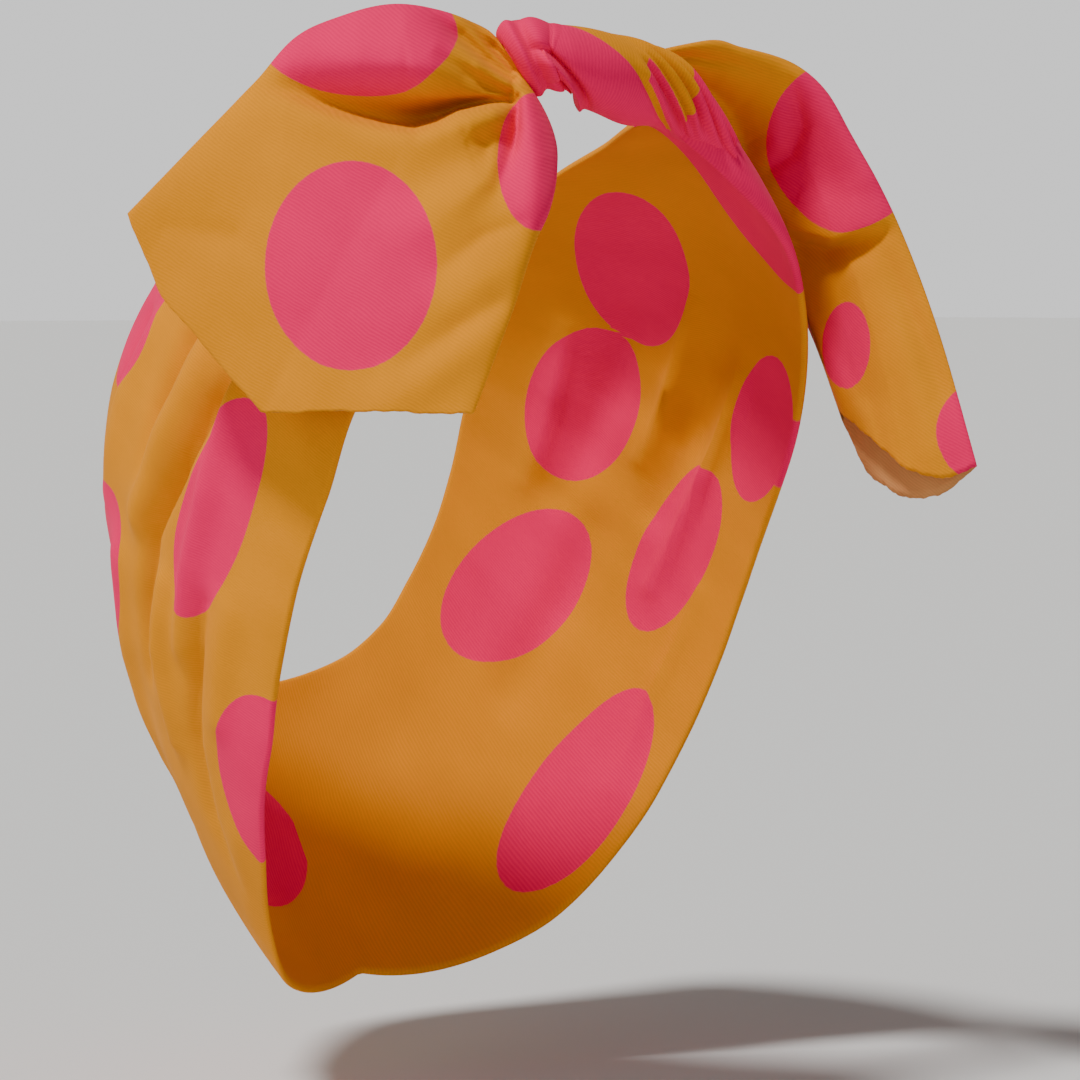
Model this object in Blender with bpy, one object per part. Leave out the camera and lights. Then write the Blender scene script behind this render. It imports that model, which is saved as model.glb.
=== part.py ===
"""Top knot headband: a wide jersey band round the head, tied over the forehead in a rolled knot with two broad tails.

Metres, +Z up. The face looks along -Y and the wearer's right is -X.
The origin is the seat: the point of the head straight under the middle of the knot.
"""
import math
from collections import namedtuple

import bmesh
import bpy
import numpy as np

MM = 0.001

# The head inside the band, as half sizes in millimetres from its centre
HEAD_CENTRE = (0.0, 47.0, -81.4)
HEAD_HALF_WIDTH = 74.0
HEAD_HALF_FRONT = 94.0
HEAD_HALF_BACK = 100.0
HEAD_UP = 94.0
HEAD_DOWN = 141.0
BAND_TILT = 30.0

# Cloth thickness in millimetres
BAND_WALL = 2.0
TAIL_WALL = 1.2

# How finely the cloth is divided
BAND_COLUMNS = 74
BAND_ROWS_ACROSS = 15
KNOT_RINGS = 22
KNOT_SIDES = 26
TURN_STEPS = 30
TAIL_RINGS = 20

# The band, by its angle round the head from the knot (0) to the nape (180).
# front and rear are the angles of its edges forward and back of the loop's plane.
# edge, middle and back are how far its outer face stands off the head, in millimetres.
BandRow = namedtuple("BandRow", "angle front rear edge middle back wall")
RIGHT_SIDE = (
    BandRow(12.0, 1.5, 10, 2.4, 7.4, 2.6, 4.2),
    BandRow(16.0, -1.5, 13, 3.2, 6.6, 3.6, 3.6),
    BandRow(22, -6, 18, 3.6, 6.0, 3.8, 3.0),
    BandRow(32, -12, 29, 3.2, 5.0, 3.8, 2.5),
    BandRow(45, -16, 44, 2.8, 4.0, 3.6, BAND_WALL),
    BandRow(61, -20, 53, 2.6, 3.6, 3.6, BAND_WALL),
    BandRow(75, -24, 55, 2.5, 3.4, 3.4, BAND_WALL),
    BandRow(90, -25.5, 56, 2.5, 4.0, 4.8, BAND_WALL),
    BandRow(107, -26.5, 53, 2.5, 4.8, 6.2, BAND_WALL),
    BandRow(118, -26.5, 50, 2.5, 5.0, 6.6, BAND_WALL),
    BandRow(130, -24.8, 45, 2.5, 4.0, 4.6, BAND_WALL),
    BandRow(140, -23.4, 40, 2.4, 3.0, 3.6, BAND_WALL),
    BandRow(150, -20.7, 35, 2.3, 1.4, 3.0, BAND_WALL),
    BandRow(158, -18, 31, 2.4, 1.2, 2.8, BAND_WALL),
    BandRow(166, -14, 29, 2.6, 1.8, 2.6, BAND_WALL),
    BandRow(180, -8, 28, 2.4, 2.4, 2.4, BAND_WALL),
)
LEFT_SIDE = (
    BandRow(11.3, -0.4, 5.0, 4.8, 12.8, 2.6, 5.0),
    BandRow(15, -3.4, 9, 4.6, 12.4, 3.2, 4.2),
    BandRow(21, -7, 15, 5.4, 11.2, 4.0, 3.4),
    BandRow(32, -11, 28, 5.6, 8.4, 3.8, 2.6),
    BandRow(45, -13, 44, 4.6, 6.0, 3.6, BAND_WALL),
    BandRow(61, -15, 53, 3.6, 4.4, 3.6, BAND_WALL),
    BandRow(75, -16, 55, 3.0, 3.8, 3.4, BAND_WALL),
    BandRow(90, -16, 56, 2.7, 3.8, 4.4, BAND_WALL),
    BandRow(107, -17, 53, 2.5, 4.2, 5.4, BAND_WALL),
    BandRow(118, -18, 50, 2.5, 4.4, 5.6, BAND_WALL),
    BandRow(130, -18.5, 45, 2.5, 3.8, 4.4, BAND_WALL),
    BandRow(140, -18.5, 40, 2.4, 3.0, 3.6, BAND_WALL),
    BandRow(150, -17.5, 35, 2.3, 2.0, 3.0, BAND_WALL),
    BandRow(158, -16, 31, 2.4, 1.8, 2.8, BAND_WALL),
    BandRow(166, -13, 29, 2.6, 2.0, 2.6, BAND_WALL),
    BandRow(180, -8, 28, 2.4, 2.4, 2.4, BAND_WALL),
)

# Folds of the band: from one (angle, across) to another, both in degrees.
# width and height are in millimetres, and a negative height is a groove.
Fold = namedtuple("Fold", "start end width height")
RIGHT_FOLDS = (
    Fold((68, 20), (97, 20), 5.5, -2.2),
    Fold((66, 11), (104, 14), 6.0, 1.8),
    Fold((68, 5), (92, 7), 5.0, -2.4),
    Fold((92, 7), (128, 8), 5.0, -2.2),
    Fold((70, 0), (108, -4), 6.0, 1.8),
    Fold((112, 2), (132, -3), 4.0, 1.6),
    Fold((108, -9), (132, -9), 5.0, -1.8),
    Fold((132, -10), (146, -16), 4.5, -1.6),
    Fold((104, -15), (122, -16), 5.0, 1.2),
    Fold((110, -4), (138, -4), 4.0, 1.2),
    Fold((76, 33), (112, 31), 6.0, 1.6),
    Fold((80, 43), (118, 38), 5.0, -1.6),
    Fold((118, 20), (146, 10), 6.0, 1.4),
    Fold((140, -19), (152, -18), 4.0, 1.0),
)
LEFT_FOLDS = (
    Fold((64, 17), (100, 19), 5.5, -2.0),
    Fold((66, 9), (106, 11), 6.0, 1.6),
    Fold((70, 2), (118, 3), 5.0, -2.2),
    Fold((74, 30), (116, 30), 6.0, 1.6),
    Fold((82, 42), (120, 36), 5.0, -1.6),
    Fold((112, -8), (144, -12), 5.0, -1.6),
    Fold((118, 20), (146, 12), 6.0, 1.2),
)
BAND_PLEATS = 3.5
PLEAT_HEIGHT = 1.5
PLEAT_END = 58.0

# The knot's roll, from its left end in the wrap to its right end at the strand, in millimetres
RollRow = namedtuple("RollRow", "along x y z up out")
ROLL = (
    RollRow(0.00, -18.6, -2.6, 14.4, 7.4, 6.4),
    RollRow(0.10, -15.4, -2.2, 13.6, 7.8, 7.6),
    RollRow(0.30, -8.0, -1.2, 12.2, 8.4, 8.4),
    RollRow(0.50, 0.4, -0.4, 10.8, 8.8, 8.8),
    RollRow(0.70, 8.0, 0.0, 9.4, 8.8, 8.8),
    RollRow(0.86, 13.8, 0.0, 8.4, 8.6, 8.6),
    RollRow(0.95, 17.2, 0.0, 7.4, 8.4, 8.2),
    RollRow(1.00, 19.4, 0.0, 6.4, 7.0, 7.0),
)
ROLL_TWIST = 150.0
ROLL_FOLDS = 3
ROLL_FOLD_DEPTH = 0.8
ROLL_CREASE = 1.1

# The narrow wrap round the neck of the right tail
TAIL_TURN = -38.0
TURN_CENTRE = (-21.8, 0.0, 13.6)
TURN_LEAN = 24.0
TURN_INNER_LONG = 6.4
TURN_INNER_OUT = 5.0
TURN_THICK = 2.6
TURN_HALF_WIDTH = 3.7

# The tails, in a frame turned with them: across to the left, up, and out towards the wearer's right front
Edge = namedtuple("Edge", "at across up out")
Ridge = namedtuple("Ridge", "start end width height")
Belly = namedtuple("Belly", "at half")

RIGHT_TAIL_ORIGIN = (-22.0, 0.0, 10.0)
RIGHT_TAIL_TOP = (
    Edge(0.00, -1.6, 7.6, 0.0),
    Edge(0.05, -5.2, 6.6, 0.6),
    Edge(0.08, -8.4, 9.4, 1.4),
    Edge(0.12, -13.0, 11.6, 2.8),
    Edge(0.24, -27.0, 14.5, 6.0),
    Edge(0.38, -41.0, 11.5, 7.0),
    Edge(0.49, -50.0, 7.0, 9.0),
    Edge(0.60, -58.0, -2.0, 12.0),
    Edge(0.80, -72.0, -17.0, 16.5),
    Edge(1.00, -85.0, -31.0, 21.0),
)
RIGHT_TAIL_SIDE = (
    Edge(0.00, 2.0, -0.6, 0.0),
    Edge(0.05, -1.7, -2.6, 0.8),
    Edge(0.08, -0.9, -5.8, 1.6),
    Edge(0.12, 2.8, -10.0, 3.6),
    Edge(0.17, 5.8, -14.6, 7.6),
    Edge(0.26, 6.5, -21.5, 16.0),
    Edge(0.38, 5.0, -30.0, 26.0),
    Edge(0.50, 2.0, -37.0, 31.0),
    Edge(0.75, -3.0, -52.0, 38.0),
    Edge(1.00, -11.0, -73.0, 41.0),
)
RIGHT_TAIL_END = (
    Edge(0.00, -85.0, -31.0, 21.0),
    Edge(0.22, -77.5, -48.5, 23.0),
    Edge(0.48, -56.0, -73.0, 29.0),
    Edge(0.74, -33.0, -72.4, 36.0),
    Edge(1.00, -11.0, -73.0, 41.0),
)
RIGHT_TAIL_RIDGES = (
    Ridge((-50, -7), (-31, -10), 6.5, -4.2),
    Ridge((-23, -11), (-9, -7), 4.8, -5.0),
    Ridge((-46, 4), (-18, 5), 7.5, 4.6),
    Ridge((-40, -20), (-10, -16), 5.5, 3.0),
    Ridge((-4, -17), (-6, -28), 3.6, -3.4),
    Ridge((3, -16), (2, -33), 4.0, 2.6),
    Ridge((-10, 6), (-20, 9), 3.4, -1.8),
    Ridge((0, -34), (-20, -42), 5.5, 2.2),
    Ridge((-37, -42), (-38, -40), 20.0, 4.0),
    Ridge((-12, -58), (-27, -68), 5.5, 1.6),
    Ridge((-10, -46), (-20, -54), 5.0, -1.6),
)
RIGHT_TAIL_BELLY = (
    Belly(0.00, 3.8),
    Belly(0.06, 3.8),
    Belly(0.15, 5.2),
    Belly(0.35, 6.4),
    Belly(0.60, 4.6),
    Belly(0.85, 2.7),
    Belly(1.00, 2.0),
)

LEFT_TAIL_ORIGIN = (22.0, 0.0, 8.0)
LEFT_TAIL_INNER = (
    Edge(0.00, -8.3, 3.8, -6.2),
    Edge(0.10, 0.6, 1.0, -16.2),
    Edge(0.20, 9.8, -7.2, -27.2),
    Edge(0.40, 18.0, -22.0, -42.0),
    Edge(0.60, 26.0, -37.0, -49.0),
    Edge(0.80, 33.0, -53.0, -50.0),
    Edge(1.00, 40.0, -74.0, -43.0),
)
LEFT_TAIL_OUTER = (
    Edge(0.00, -10.0, 7.2, -4.1),
    Edge(0.12, 4.5, 12.0, -13.0),
    Edge(0.25, 15.0, 11.2, -19.5),
    Edge(0.38, 28.0, 7.6, -27.0),
    Edge(0.47, 35.0, 2.0, -30.0),
    Edge(0.57, 41.0, -8.0, -31.0),
    Edge(0.76, 54.0, -33.0, -28.5),
    Edge(0.88, 62.0, -56.0, -23.5),
    Edge(1.00, 70.0, -86.0, -17.0),
)
LEFT_TAIL_END = (
    Edge(0.00, 40.0, -74.0, -43.0),
    Edge(0.36, 47.5, -81.0, -31.0),
    Edge(0.62, 54.0, -87.0, -24.0),
    Edge(0.82, 62.0, -89.0, -20.0),
    Edge(1.00, 70.0, -86.0, -17.0),
)
LEFT_TAIL_RIDGES = (
    Ridge((10, -1), (22, -13), 5.0, -4.0),
    Ridge((33, -27), (42, -29), 5.0, -2.8),
    Ridge((28, -2), (43, -20), 6.0, 2.2),
    Ridge((0, 7), (12, 8), 2.4, -1.6),
    Ridge((2, 2), (12, -4), 2.4, -1.4),
    Ridge((45, -45), (58, -80), 6.0, 1.8),
    Ridge((34, -45), (44, -68), 5.0, -1.4),
)
LEFT_TAIL_BELLY = (
    Belly(0.00, 2.8),
    Belly(0.15, 4.2),
    Belly(0.40, 5.4),
    Belly(0.75, 5.0),
    Belly(1.00, 4.8),
)
LEFT_TAIL_BACK_DROP = 9.0

# Colours as red, green and blue from 0 to 1 in linear light
MUSTARD = (0.80, 0.33, 0.022)
PINK = (0.95, 0.07, 0.15)


def along(rows, key, column, at):
    """A smooth curve through one column of a table, level past its ends."""
    x = [getattr(r, key) for r in rows]
    y = [getattr(r, column) for r in rows]
    if at <= x[0]:
        return y[0]
    if at >= x[-1]:
        return y[-1]
    slopes = [(y[i + 1] - y[i]) / (x[i + 1] - x[i]) for i in range(len(x) - 1)]
    ends = [slopes[0]]
    for a, b in zip(slopes, slopes[1:]):
        ends.append(0.0 if a * b <= 0 else 2 * a * b / (a + b))
    ends.append(slopes[-1])
    i = max(k for k in range(len(x) - 1) if x[k] <= at)
    w = x[i + 1] - x[i]
    t = (at - x[i]) / w
    return (
        (1 + 2 * t) * (1 - t) ** 2 * y[i]
        + t * (1 - t) ** 2 * w * ends[i]
        + t * t * (3 - 2 * t) * y[i + 1]
        + t * t * (t - 1) * w * ends[i + 1]
    )


def bend(rows, key, column, at):
    """A rounded curve through one column of a table, for outlines that turn."""
    x = [getattr(r, key) for r in rows]
    y = [getattr(r, column) for r in rows]
    at = min(max(at, x[0]), x[-1])
    i = min(max(k for k in range(len(x)) if x[k] <= at), len(x) - 2)
    slopes = [(y[k + 1] - y[k]) / (x[k + 1] - x[k]) for k in range(len(x) - 1)]
    ends = [slopes[0]]
    for k in range(1, len(slopes)):
        before, after = x[k] - x[k - 1], x[k + 1] - x[k]
        ends.append((slopes[k - 1] * after + slopes[k] * before) / (before + after))
    ends.append(slopes[-1])
    w = x[i + 1] - x[i]
    t = (at - x[i]) / w
    return (
        (1 + 2 * t) * (1 - t) ** 2 * y[i]
        + t * (1 - t) ** 2 * w * ends[i]
        + t * t * (3 - 2 * t) * y[i + 1]
        + t * t * (t - 1) * w * ends[i + 1]
    )


def straight(rows, key, column, at):
    """Straight lines through one column of a table, which keep its corners."""
    x = [getattr(r, key) for r in rows]
    y = [getattr(r, column) for r in rows]
    return float(np.interp(at, x, y))


def ridge_height(rows, point, scale=1.0):
    """The sum of the ridges and grooves at a point, each fading off from its own line."""
    total = 0.0
    for r in rows:
        a = np.array(r.start, float) * scale
        b = np.array(r.end, float) * scale
        p = np.array(point, float) * scale
        run = b - a
        t = min(max(float((p - a) @ run / (run @ run)), 0.0), 1.0)
        away = float(np.linalg.norm(p - a - run * t))
        total += r.height * math.exp(-((away / r.width) ** 2))
    return total


def head_direction(angle, across):
    """Unit direction from the head's centre, by angle round the loop and across it, in degrees."""
    tilt = math.radians(BAND_TILT)
    up = np.array([0.0, -math.sin(tilt), math.cos(tilt)])
    back = np.array([0.0, math.cos(tilt), math.sin(tilt)])
    side = np.array([-1.0, 0.0, 0.0])
    a, c = math.radians(angle), math.radians(across)
    return math.cos(c) * (math.cos(a) * up + math.sin(a) * side) + math.sin(c) * back


def head_radius(d):
    """How far the head's surface lies from its centre along a unit direction."""
    depth = HEAD_HALF_FRONT if d[1] < 0 else HEAD_HALF_BACK
    height = HEAD_UP if d[2] > 0 else HEAD_DOWN
    return 1 / math.sqrt((d[0] / HEAD_HALF_WIDTH) ** 2 + (d[1] / depth) ** 2 + (d[2] / height) ** 2)


def over_head(angle, across, off):
    d = head_direction(angle, across)
    return np.array(HEAD_CENTRE) + d * (head_radius(d) + off)


def band_point(angle, share, inner):
    """A point of the band: share runs from 0 at the front edge to 1 at the rear edge."""
    right = angle <= 180
    table, folds = (RIGHT_SIDE, RIGHT_FOLDS) if right else (LEFT_SIDE, LEFT_FOLDS)
    a = angle if right else 360 - angle
    front = along(table, "angle", "front", a)
    rear = along(table, "angle", "rear", a)
    across = front + (rear - front) * share
    edge, middle, back = (along(table, "angle", k, a) for k in ("edge", "middle", "back"))
    arch = math.sin(math.pi * share) ** 0.8 if 0 < share < 1 else 0.0
    off = edge + (back - edge) * share + (middle - (edge + back) / 2) * arch
    gathered = max(0.0, 1 - a / PLEAT_END)
    inset = math.sin(math.pi * share) ** 0.5 if 0 < share < 1 else 0.0
    off += ridge_height(folds, (a, across), 1.48) * inset
    if inner:
        off -= along(table, "angle", "wall", a) + PLEAT_HEIGHT * gathered * inset
    else:
        off += PLEAT_HEIGHT * gathered * inset * math.cos(2 * math.pi * BAND_PLEATS * share)
    return over_head(angle, across, off)


def solid_object(name, vertices, faces, colour):
    """A closed body from points in millimetres, with its own material."""
    mesh = bpy.data.meshes.new(name)
    bm = bmesh.new()
    made = [bm.verts.new([float(x) * MM for x in v]) for v in vertices]
    for f in faces:
        bm.faces.new([made[i] for i in f])
    bmesh.ops.recalc_face_normals(bm, faces=bm.faces)
    bmesh.ops.triangulate(bm, faces=bm.faces)
    bm.to_mesh(mesh)
    bm.free()
    mesh.shade_smooth()
    mesh.set_sharp_from_angle(angle=math.radians(60))
    obj = bpy.data.objects.new(name, mesh)
    bpy.context.scene.collection.objects.link(obj)
    material = bpy.data.materials.new(name + "_cloth")
    material.use_nodes = True
    shader = material.node_tree.nodes["Principled BSDF"]
    shader.inputs["Base Color"].default_value = (*colour, 1)
    shader.inputs["Roughness"].default_value = 0.85
    shader.inputs["Metallic"].default_value = 0.0
    mesh.materials.append(material)
    return obj


def join_rings(first, second, count):
    """Quads between two closed rings that start at these vertex numbers."""
    return [
        (first + k, first + (k + 1) % count, second + (k + 1) % count, second + k)
        for k in range(count)
    ]


def close_ring(first, count):
    """Closes a flat ring by joining each point to the one across from it."""
    half = count // 2
    faces = [(first, first + 1, first + count - 1)]
    for k in range(1, half - 1):
        faces.append((first + k, first + k + 1, first + count - k - 1, first + count - k))
    faces.append((first + half - 1, first + half, first + half + 1))
    return faces


def make_band():
    vertices, faces = [], []
    count = 2 * (BAND_ROWS_ACROSS + 1) + 2
    start, stop = RIGHT_SIDE[0].angle, 360 - LEFT_SIDE[0].angle
    shares = [k / BAND_ROWS_ACROSS for k in range(BAND_ROWS_ACROSS + 1)]
    for i in range(BAND_COLUMNS + 1):
        t = i / BAND_COLUMNS
        angle = start + (stop - start) * t
        outer = [band_point(angle, s, False) for s in shares]
        inner = [band_point(angle, s, True) for s in shares]
        front = (outer[0] + inner[0]) / 2 + (outer[0] - outer[1]) * 0.14
        rear = (outer[-1] + inner[-1]) / 2 + (outer[-1] - outer[-2]) * 0.14
        vertices += [front] + outer + [rear] + inner[::-1]
    for i in range(BAND_COLUMNS):
        faces += join_rings(i * count, (i + 1) * count, count)
    faces += close_ring(0, count)
    faces += close_ring(BAND_COLUMNS * count, count)
    return solid_object("head_band", vertices, faces, MUSTARD)


def roll_frame(t):
    """Centre, up and out of the roll's section: at the left it leans with the wrap."""
    centre = np.array([bend(ROLL, "along", k, t) for k in "xyz"])
    turn = math.radians(TAIL_TURN)
    lean = math.radians(TURN_LEAN)
    left_up = np.array([-math.sin(lean) * math.cos(turn), -math.sin(lean) * math.sin(turn), math.cos(lean)])
    left_out = np.array([math.sin(turn), -math.cos(turn), 0.0])
    end = head_direction(-LEFT_SIDE[0].angle, 0)
    right_out = np.array([0.0, -end[2], end[1]])
    right_out /= np.linalg.norm(right_out)
    right_up = end
    blend = min(1.0, t / 0.55)
    blend = blend * blend * (3 - 2 * blend)
    up = left_up * (1 - blend) + right_up * blend
    out = left_out * (1 - blend) + right_out * blend
    return centre, up / np.linalg.norm(up), out / np.linalg.norm(out)


def roll_point(t, turn):
    """A point of the roll's skin, turn in radians round it from the top towards the front."""
    centre, up, out = roll_frame(t)
    phase = turn - math.radians(ROLL_TWIST) * t
    folds = ROLL_FOLD_DEPTH * math.cos(ROLL_FOLDS * phase)
    crease = -ROLL_CREASE * math.exp(-((math.sin(ROLL_FOLDS * phase / 2) / 0.22) ** 2))
    fine = 0.5 * math.cos(8 * turn + 2.0) * max(0.0, (t - 0.6) / 0.4)
    fade = min(1.0, 6 * t + 0.2, 6 * (1 - t) + 0.3)
    high = bend(ROLL, "along", "up", t) + (folds + crease + fine) * fade
    wide = bend(ROLL, "along", "out", t) + (folds + crease + fine) * fade
    return centre + up * high * math.cos(turn) + out * wide * math.sin(turn)


def make_roll():
    vertices, faces = [], []
    for i in range(KNOT_RINGS + 1):
        t = i / KNOT_RINGS
        for k in range(KNOT_SIDES):
            vertices.append(roll_point(t, 2 * math.pi * k / KNOT_SIDES))
    for i in range(KNOT_RINGS):
        faces += join_rings(i * KNOT_SIDES, (i + 1) * KNOT_SIDES, KNOT_SIDES)
    faces += close_ring(0, KNOT_SIDES)
    faces += close_ring(KNOT_RINGS * KNOT_SIDES, KNOT_SIDES)
    return solid_object("knot_roll", vertices, faces, PINK)


def make_turn():
    """The wrap: a flat padded loop round the neck of the right tail, leaning back."""
    turn, lean = math.radians(TAIL_TURN), math.radians(TURN_LEAN)
    across = np.array([math.cos(turn), math.sin(turn), 0.0])
    out = np.array([math.sin(turn), -math.cos(turn), 0.0])
    high = np.array([0.0, 0.0, 1.0])
    longways = -math.sin(lean) * across + math.cos(lean) * high
    axis = math.cos(lean) * across + math.sin(lean) * high
    section = [(-1.0, 0.15), (-0.8, 0.8), (-0.3, 1.0), (0.3, 0.94), (0.8, 0.8), (1.0, 0.15), (0.9, 0.0), (-0.9, 0.0)]
    vertices, faces = [], []
    for i in range(TURN_STEPS):
        a = 2 * math.pi * i / TURN_STEPS
        for side, height in section:
            thick = TURN_THICK * height
            p = np.array(TURN_CENTRE)
            p = p + longways * (TURN_INNER_LONG + thick) * math.cos(a)
            p = p + out * (TURN_INNER_OUT + thick) * math.sin(a)
            vertices.append(p + axis * TURN_HALF_WIDTH * side)
    n = len(section)
    for i in range(TURN_STEPS):
        faces += join_rings(i * n, ((i + 1) % TURN_STEPS) * n, n)
    return solid_object("knot_turn", vertices, faces, PINK)


TAIL_SHARES = [0, 0.008, 0.03, 0.075] + [0.075 + 0.85 * k / 12 for k in range(1, 12)] + [0.925, 0.97, 0.992, 1]


def tail_middle(spec, s, w):
    """The middle of the tail's cloth: a patch stretched between its four edges."""
    point = []
    for column in ("across", "up", "out"):
        first = bend(spec["first"], "at", column, s)
        second = bend(spec["second"], "at", column, s)
        end_a, end_b = getattr(spec["first"][-1], column), getattr(spec["second"][-1], column)
        end = straight(spec["end"], "at", column, w)
        end_part = end_a * (1 - w) + end_b * w
        point.append(first * (1 - w) + second * w + s * s * (end - end_part))
    return np.array(point)


def tail_point(spec, s, w, side, inner):
    """A point of the sleeve: side is 1 on its front layer and -1 on its back layer."""
    edge = w in (0, 1)
    if inner:
        wide = np.linalg.norm(tail_middle(spec, s, 1.0) - tail_middle(spec, s, 0.0))
        w = 0.5 + (w - 0.5) * (1 - 2 * TAIL_WALL / wide)
    here = tail_middle(spec, s, w)
    round_edge = math.sqrt(max(0.0, 1 - abs(2 * w - 1) ** spec["round"](s)))
    half = along(spec["belly"], "at", "half", s) * spec["lean"](s, w) * round_edge
    if inner:
        half = 0.0 if edge else max(half - TAIL_WALL, 0.12 * half)
    fold = ridge_height(spec["ridges"], here[:2]) * round_edge
    share = 1.0 if side > 0 else 0.35 + 0.65 * s * s
    here[2] += fold * share + side * half
    if side < 0:
        here[1] -= spec["drop"] * s**3 * (1 - w**3) * min(1.0, w / 0.3)
    turn = math.radians(TAIL_TURN)
    return np.array(spec["origin"]) + np.array(
        [
            here[0] * math.cos(turn) + here[2] * math.sin(turn),
            here[0] * math.sin(turn) - here[2] * math.cos(turn),
            here[1],
        ]
    )


def make_tail(name, spec, colour):
    """A flattened sleeve: closed at its gathered neck, open at its cut end."""
    vertices, faces = [], []
    ring = [(w, 1) for w in TAIL_SHARES] + [(w, -1) for w in TAIL_SHARES[-2:0:-1]]
    count = len(ring)
    steps = [i / TAIL_RINGS for i in range(TAIL_RINGS + 1)]
    for s in steps:
        vertices += [tail_point(spec, s, w, side, False) for w, side in ring]
    for i in range(TAIL_RINGS):
        faces += join_rings(i * count, (i + 1) * count, count)
    faces += close_ring(0, count)
    hollow = [s for s in steps if s >= spec["hollow"]]
    base = len(vertices)
    for s in hollow:
        vertices += [tail_point(spec, s, w, side, True) for w, side in ring]
    for i in range(len(hollow) - 1):
        faces += join_rings(base + i * count, base + (i + 1) * count, count)
    faces += close_ring(base, count)
    faces += join_rings(TAIL_RINGS * count, base + (len(hollow) - 1) * count, count)
    return solid_object(name, vertices, faces, colour)


RIGHT_TAIL = {
    "origin": RIGHT_TAIL_ORIGIN,
    "first": RIGHT_TAIL_TOP,
    "second": RIGHT_TAIL_SIDE,
    "end": RIGHT_TAIL_END,
    "ridges": RIGHT_TAIL_RIDGES,
    "belly": RIGHT_TAIL_BELLY,
    "round": lambda s: 2 + 6 * min(1.0, s / 0.4),
    "lean": lambda s, w: 1.0,
    "drop": 0.0,
    "hollow": 0.3,
}
LEFT_TAIL = {
    "origin": LEFT_TAIL_ORIGIN,
    "first": LEFT_TAIL_INNER,
    "second": LEFT_TAIL_OUTER,
    "end": LEFT_TAIL_END,
    "ridges": LEFT_TAIL_RIDGES,
    "belly": LEFT_TAIL_BELLY,
    "round": lambda s: 2 + 3 * min(1.0, s / 0.4),
    "lean": lambda s, w: 1.0 - 0.55 * s * w,
    "drop": LEFT_TAIL_BACK_DROP,
    "hollow": 0.3,
}

for old in list(bpy.data.objects):
    bpy.data.objects.remove(old, do_unlink=True)

make_band()
make_roll()
make_turn()
make_tail("right_tail", RIGHT_TAIL, MUSTARD)
make_tail("left_tail", LEFT_TAIL, MUSTARD)
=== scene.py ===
# %% [markdown]
# # A tied jersey headband
#
# The real thing is one long tube of soft cotton jersey, mustard with pink dots.
# It lies flat round the back of the head, is gathered over the forehead and tied once.
# The knot is a thick twisted roll, and the two ends of the tube stand away from it as open sleeves.
# Each piece here is a fine grid of cloth that is bent into place by a few named curves.

# %% Load the solid model that the cloth has to fit
import math
from collections import namedtuple

import bmesh
import bpy
import numpy as np
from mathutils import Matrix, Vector


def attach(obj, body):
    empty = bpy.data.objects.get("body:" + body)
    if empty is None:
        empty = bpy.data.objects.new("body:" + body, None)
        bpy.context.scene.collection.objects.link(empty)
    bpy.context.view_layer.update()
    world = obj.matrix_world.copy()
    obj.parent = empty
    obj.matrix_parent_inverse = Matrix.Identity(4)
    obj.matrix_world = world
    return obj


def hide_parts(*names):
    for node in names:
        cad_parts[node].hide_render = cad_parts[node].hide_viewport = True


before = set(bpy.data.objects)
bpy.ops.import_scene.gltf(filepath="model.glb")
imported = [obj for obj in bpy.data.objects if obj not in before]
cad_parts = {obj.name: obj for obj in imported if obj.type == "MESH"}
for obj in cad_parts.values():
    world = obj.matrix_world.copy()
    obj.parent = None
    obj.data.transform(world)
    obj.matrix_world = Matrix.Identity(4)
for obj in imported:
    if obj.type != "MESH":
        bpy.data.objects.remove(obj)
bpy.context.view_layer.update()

print("solids to dress:", sorted(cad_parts))

# %% [markdown]
# ## Curves that shape cloth
#
# A cloth outline is easier to read as a short table than as a cloud of points.
# One function draws a smooth curve through a column of such a table.
# Another adds up creases: each is a line of spots over the cloth,
# with a height and a width to either side.
# A fold that hangs over itself is narrow on one side and wide on the other, so the two widths differ.
# Ridges of soft cloth are round, but the grooves between them are pinched, so each has its own profile.
# A height below 0 makes a groove, and one above 0 a ridge.

# %% A smooth curve through one column of a table
# As it is, the curve never swings past its rows. Rounded, it may swing a little and is smoother.
MM = 0.001


def smooth_step(x):
    return x * x * (3 - 2 * x)


def curve(rows, key, column, at, rounded=False):
    x = np.array([getattr(r, key) for r in rows], float)
    y = np.array([getattr(r, column) for r in rows], float)
    at = np.clip(at, x[0], x[-1])
    i = np.clip(np.searchsorted(x, at, side="right") - 1, 0, len(x) - 2)
    step = np.diff(x)
    slope = np.diff(y) / step
    ends = np.concatenate([slope[:1], slope[1:], slope[-1:]])
    before, after = slope[:-1], slope[1:]
    if rounded:
        ends[1:-1] = (before * step[1:] + after * step[:-1]) / (step[1:] + step[:-1])
    else:
        both = before + after
        level = np.where(before * after > 0, 2 * before * after / np.where(both == 0, 1, both), 0)
        ends[1:-1] = level
    w = step[i]
    t = (at - x[i]) / w
    return (
        (1 + 2 * t) * (1 - t) ** 2 * y[i]
        + t * (1 - t) ** 2 * w * ends[i]
        + t * t * (3 - 2 * t) * y[i + 1]
        + t * t * (t - 1) * w * ends[i + 1]
    )


# %% Creases: lines of spots, each with a width to the left and right of the line and a height
Spot = namedtuple("Spot", "x y left right height")
GROOVE_PINCH = 2.4


def fold_profile(away, height, pinch=GROOVE_PINCH):
    ridge = np.exp(-(away**2))
    groove = np.exp(1 - np.sqrt(1 + (pinch * away) ** 2))
    return height * np.where(height < 0, groove, ridge)


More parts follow.
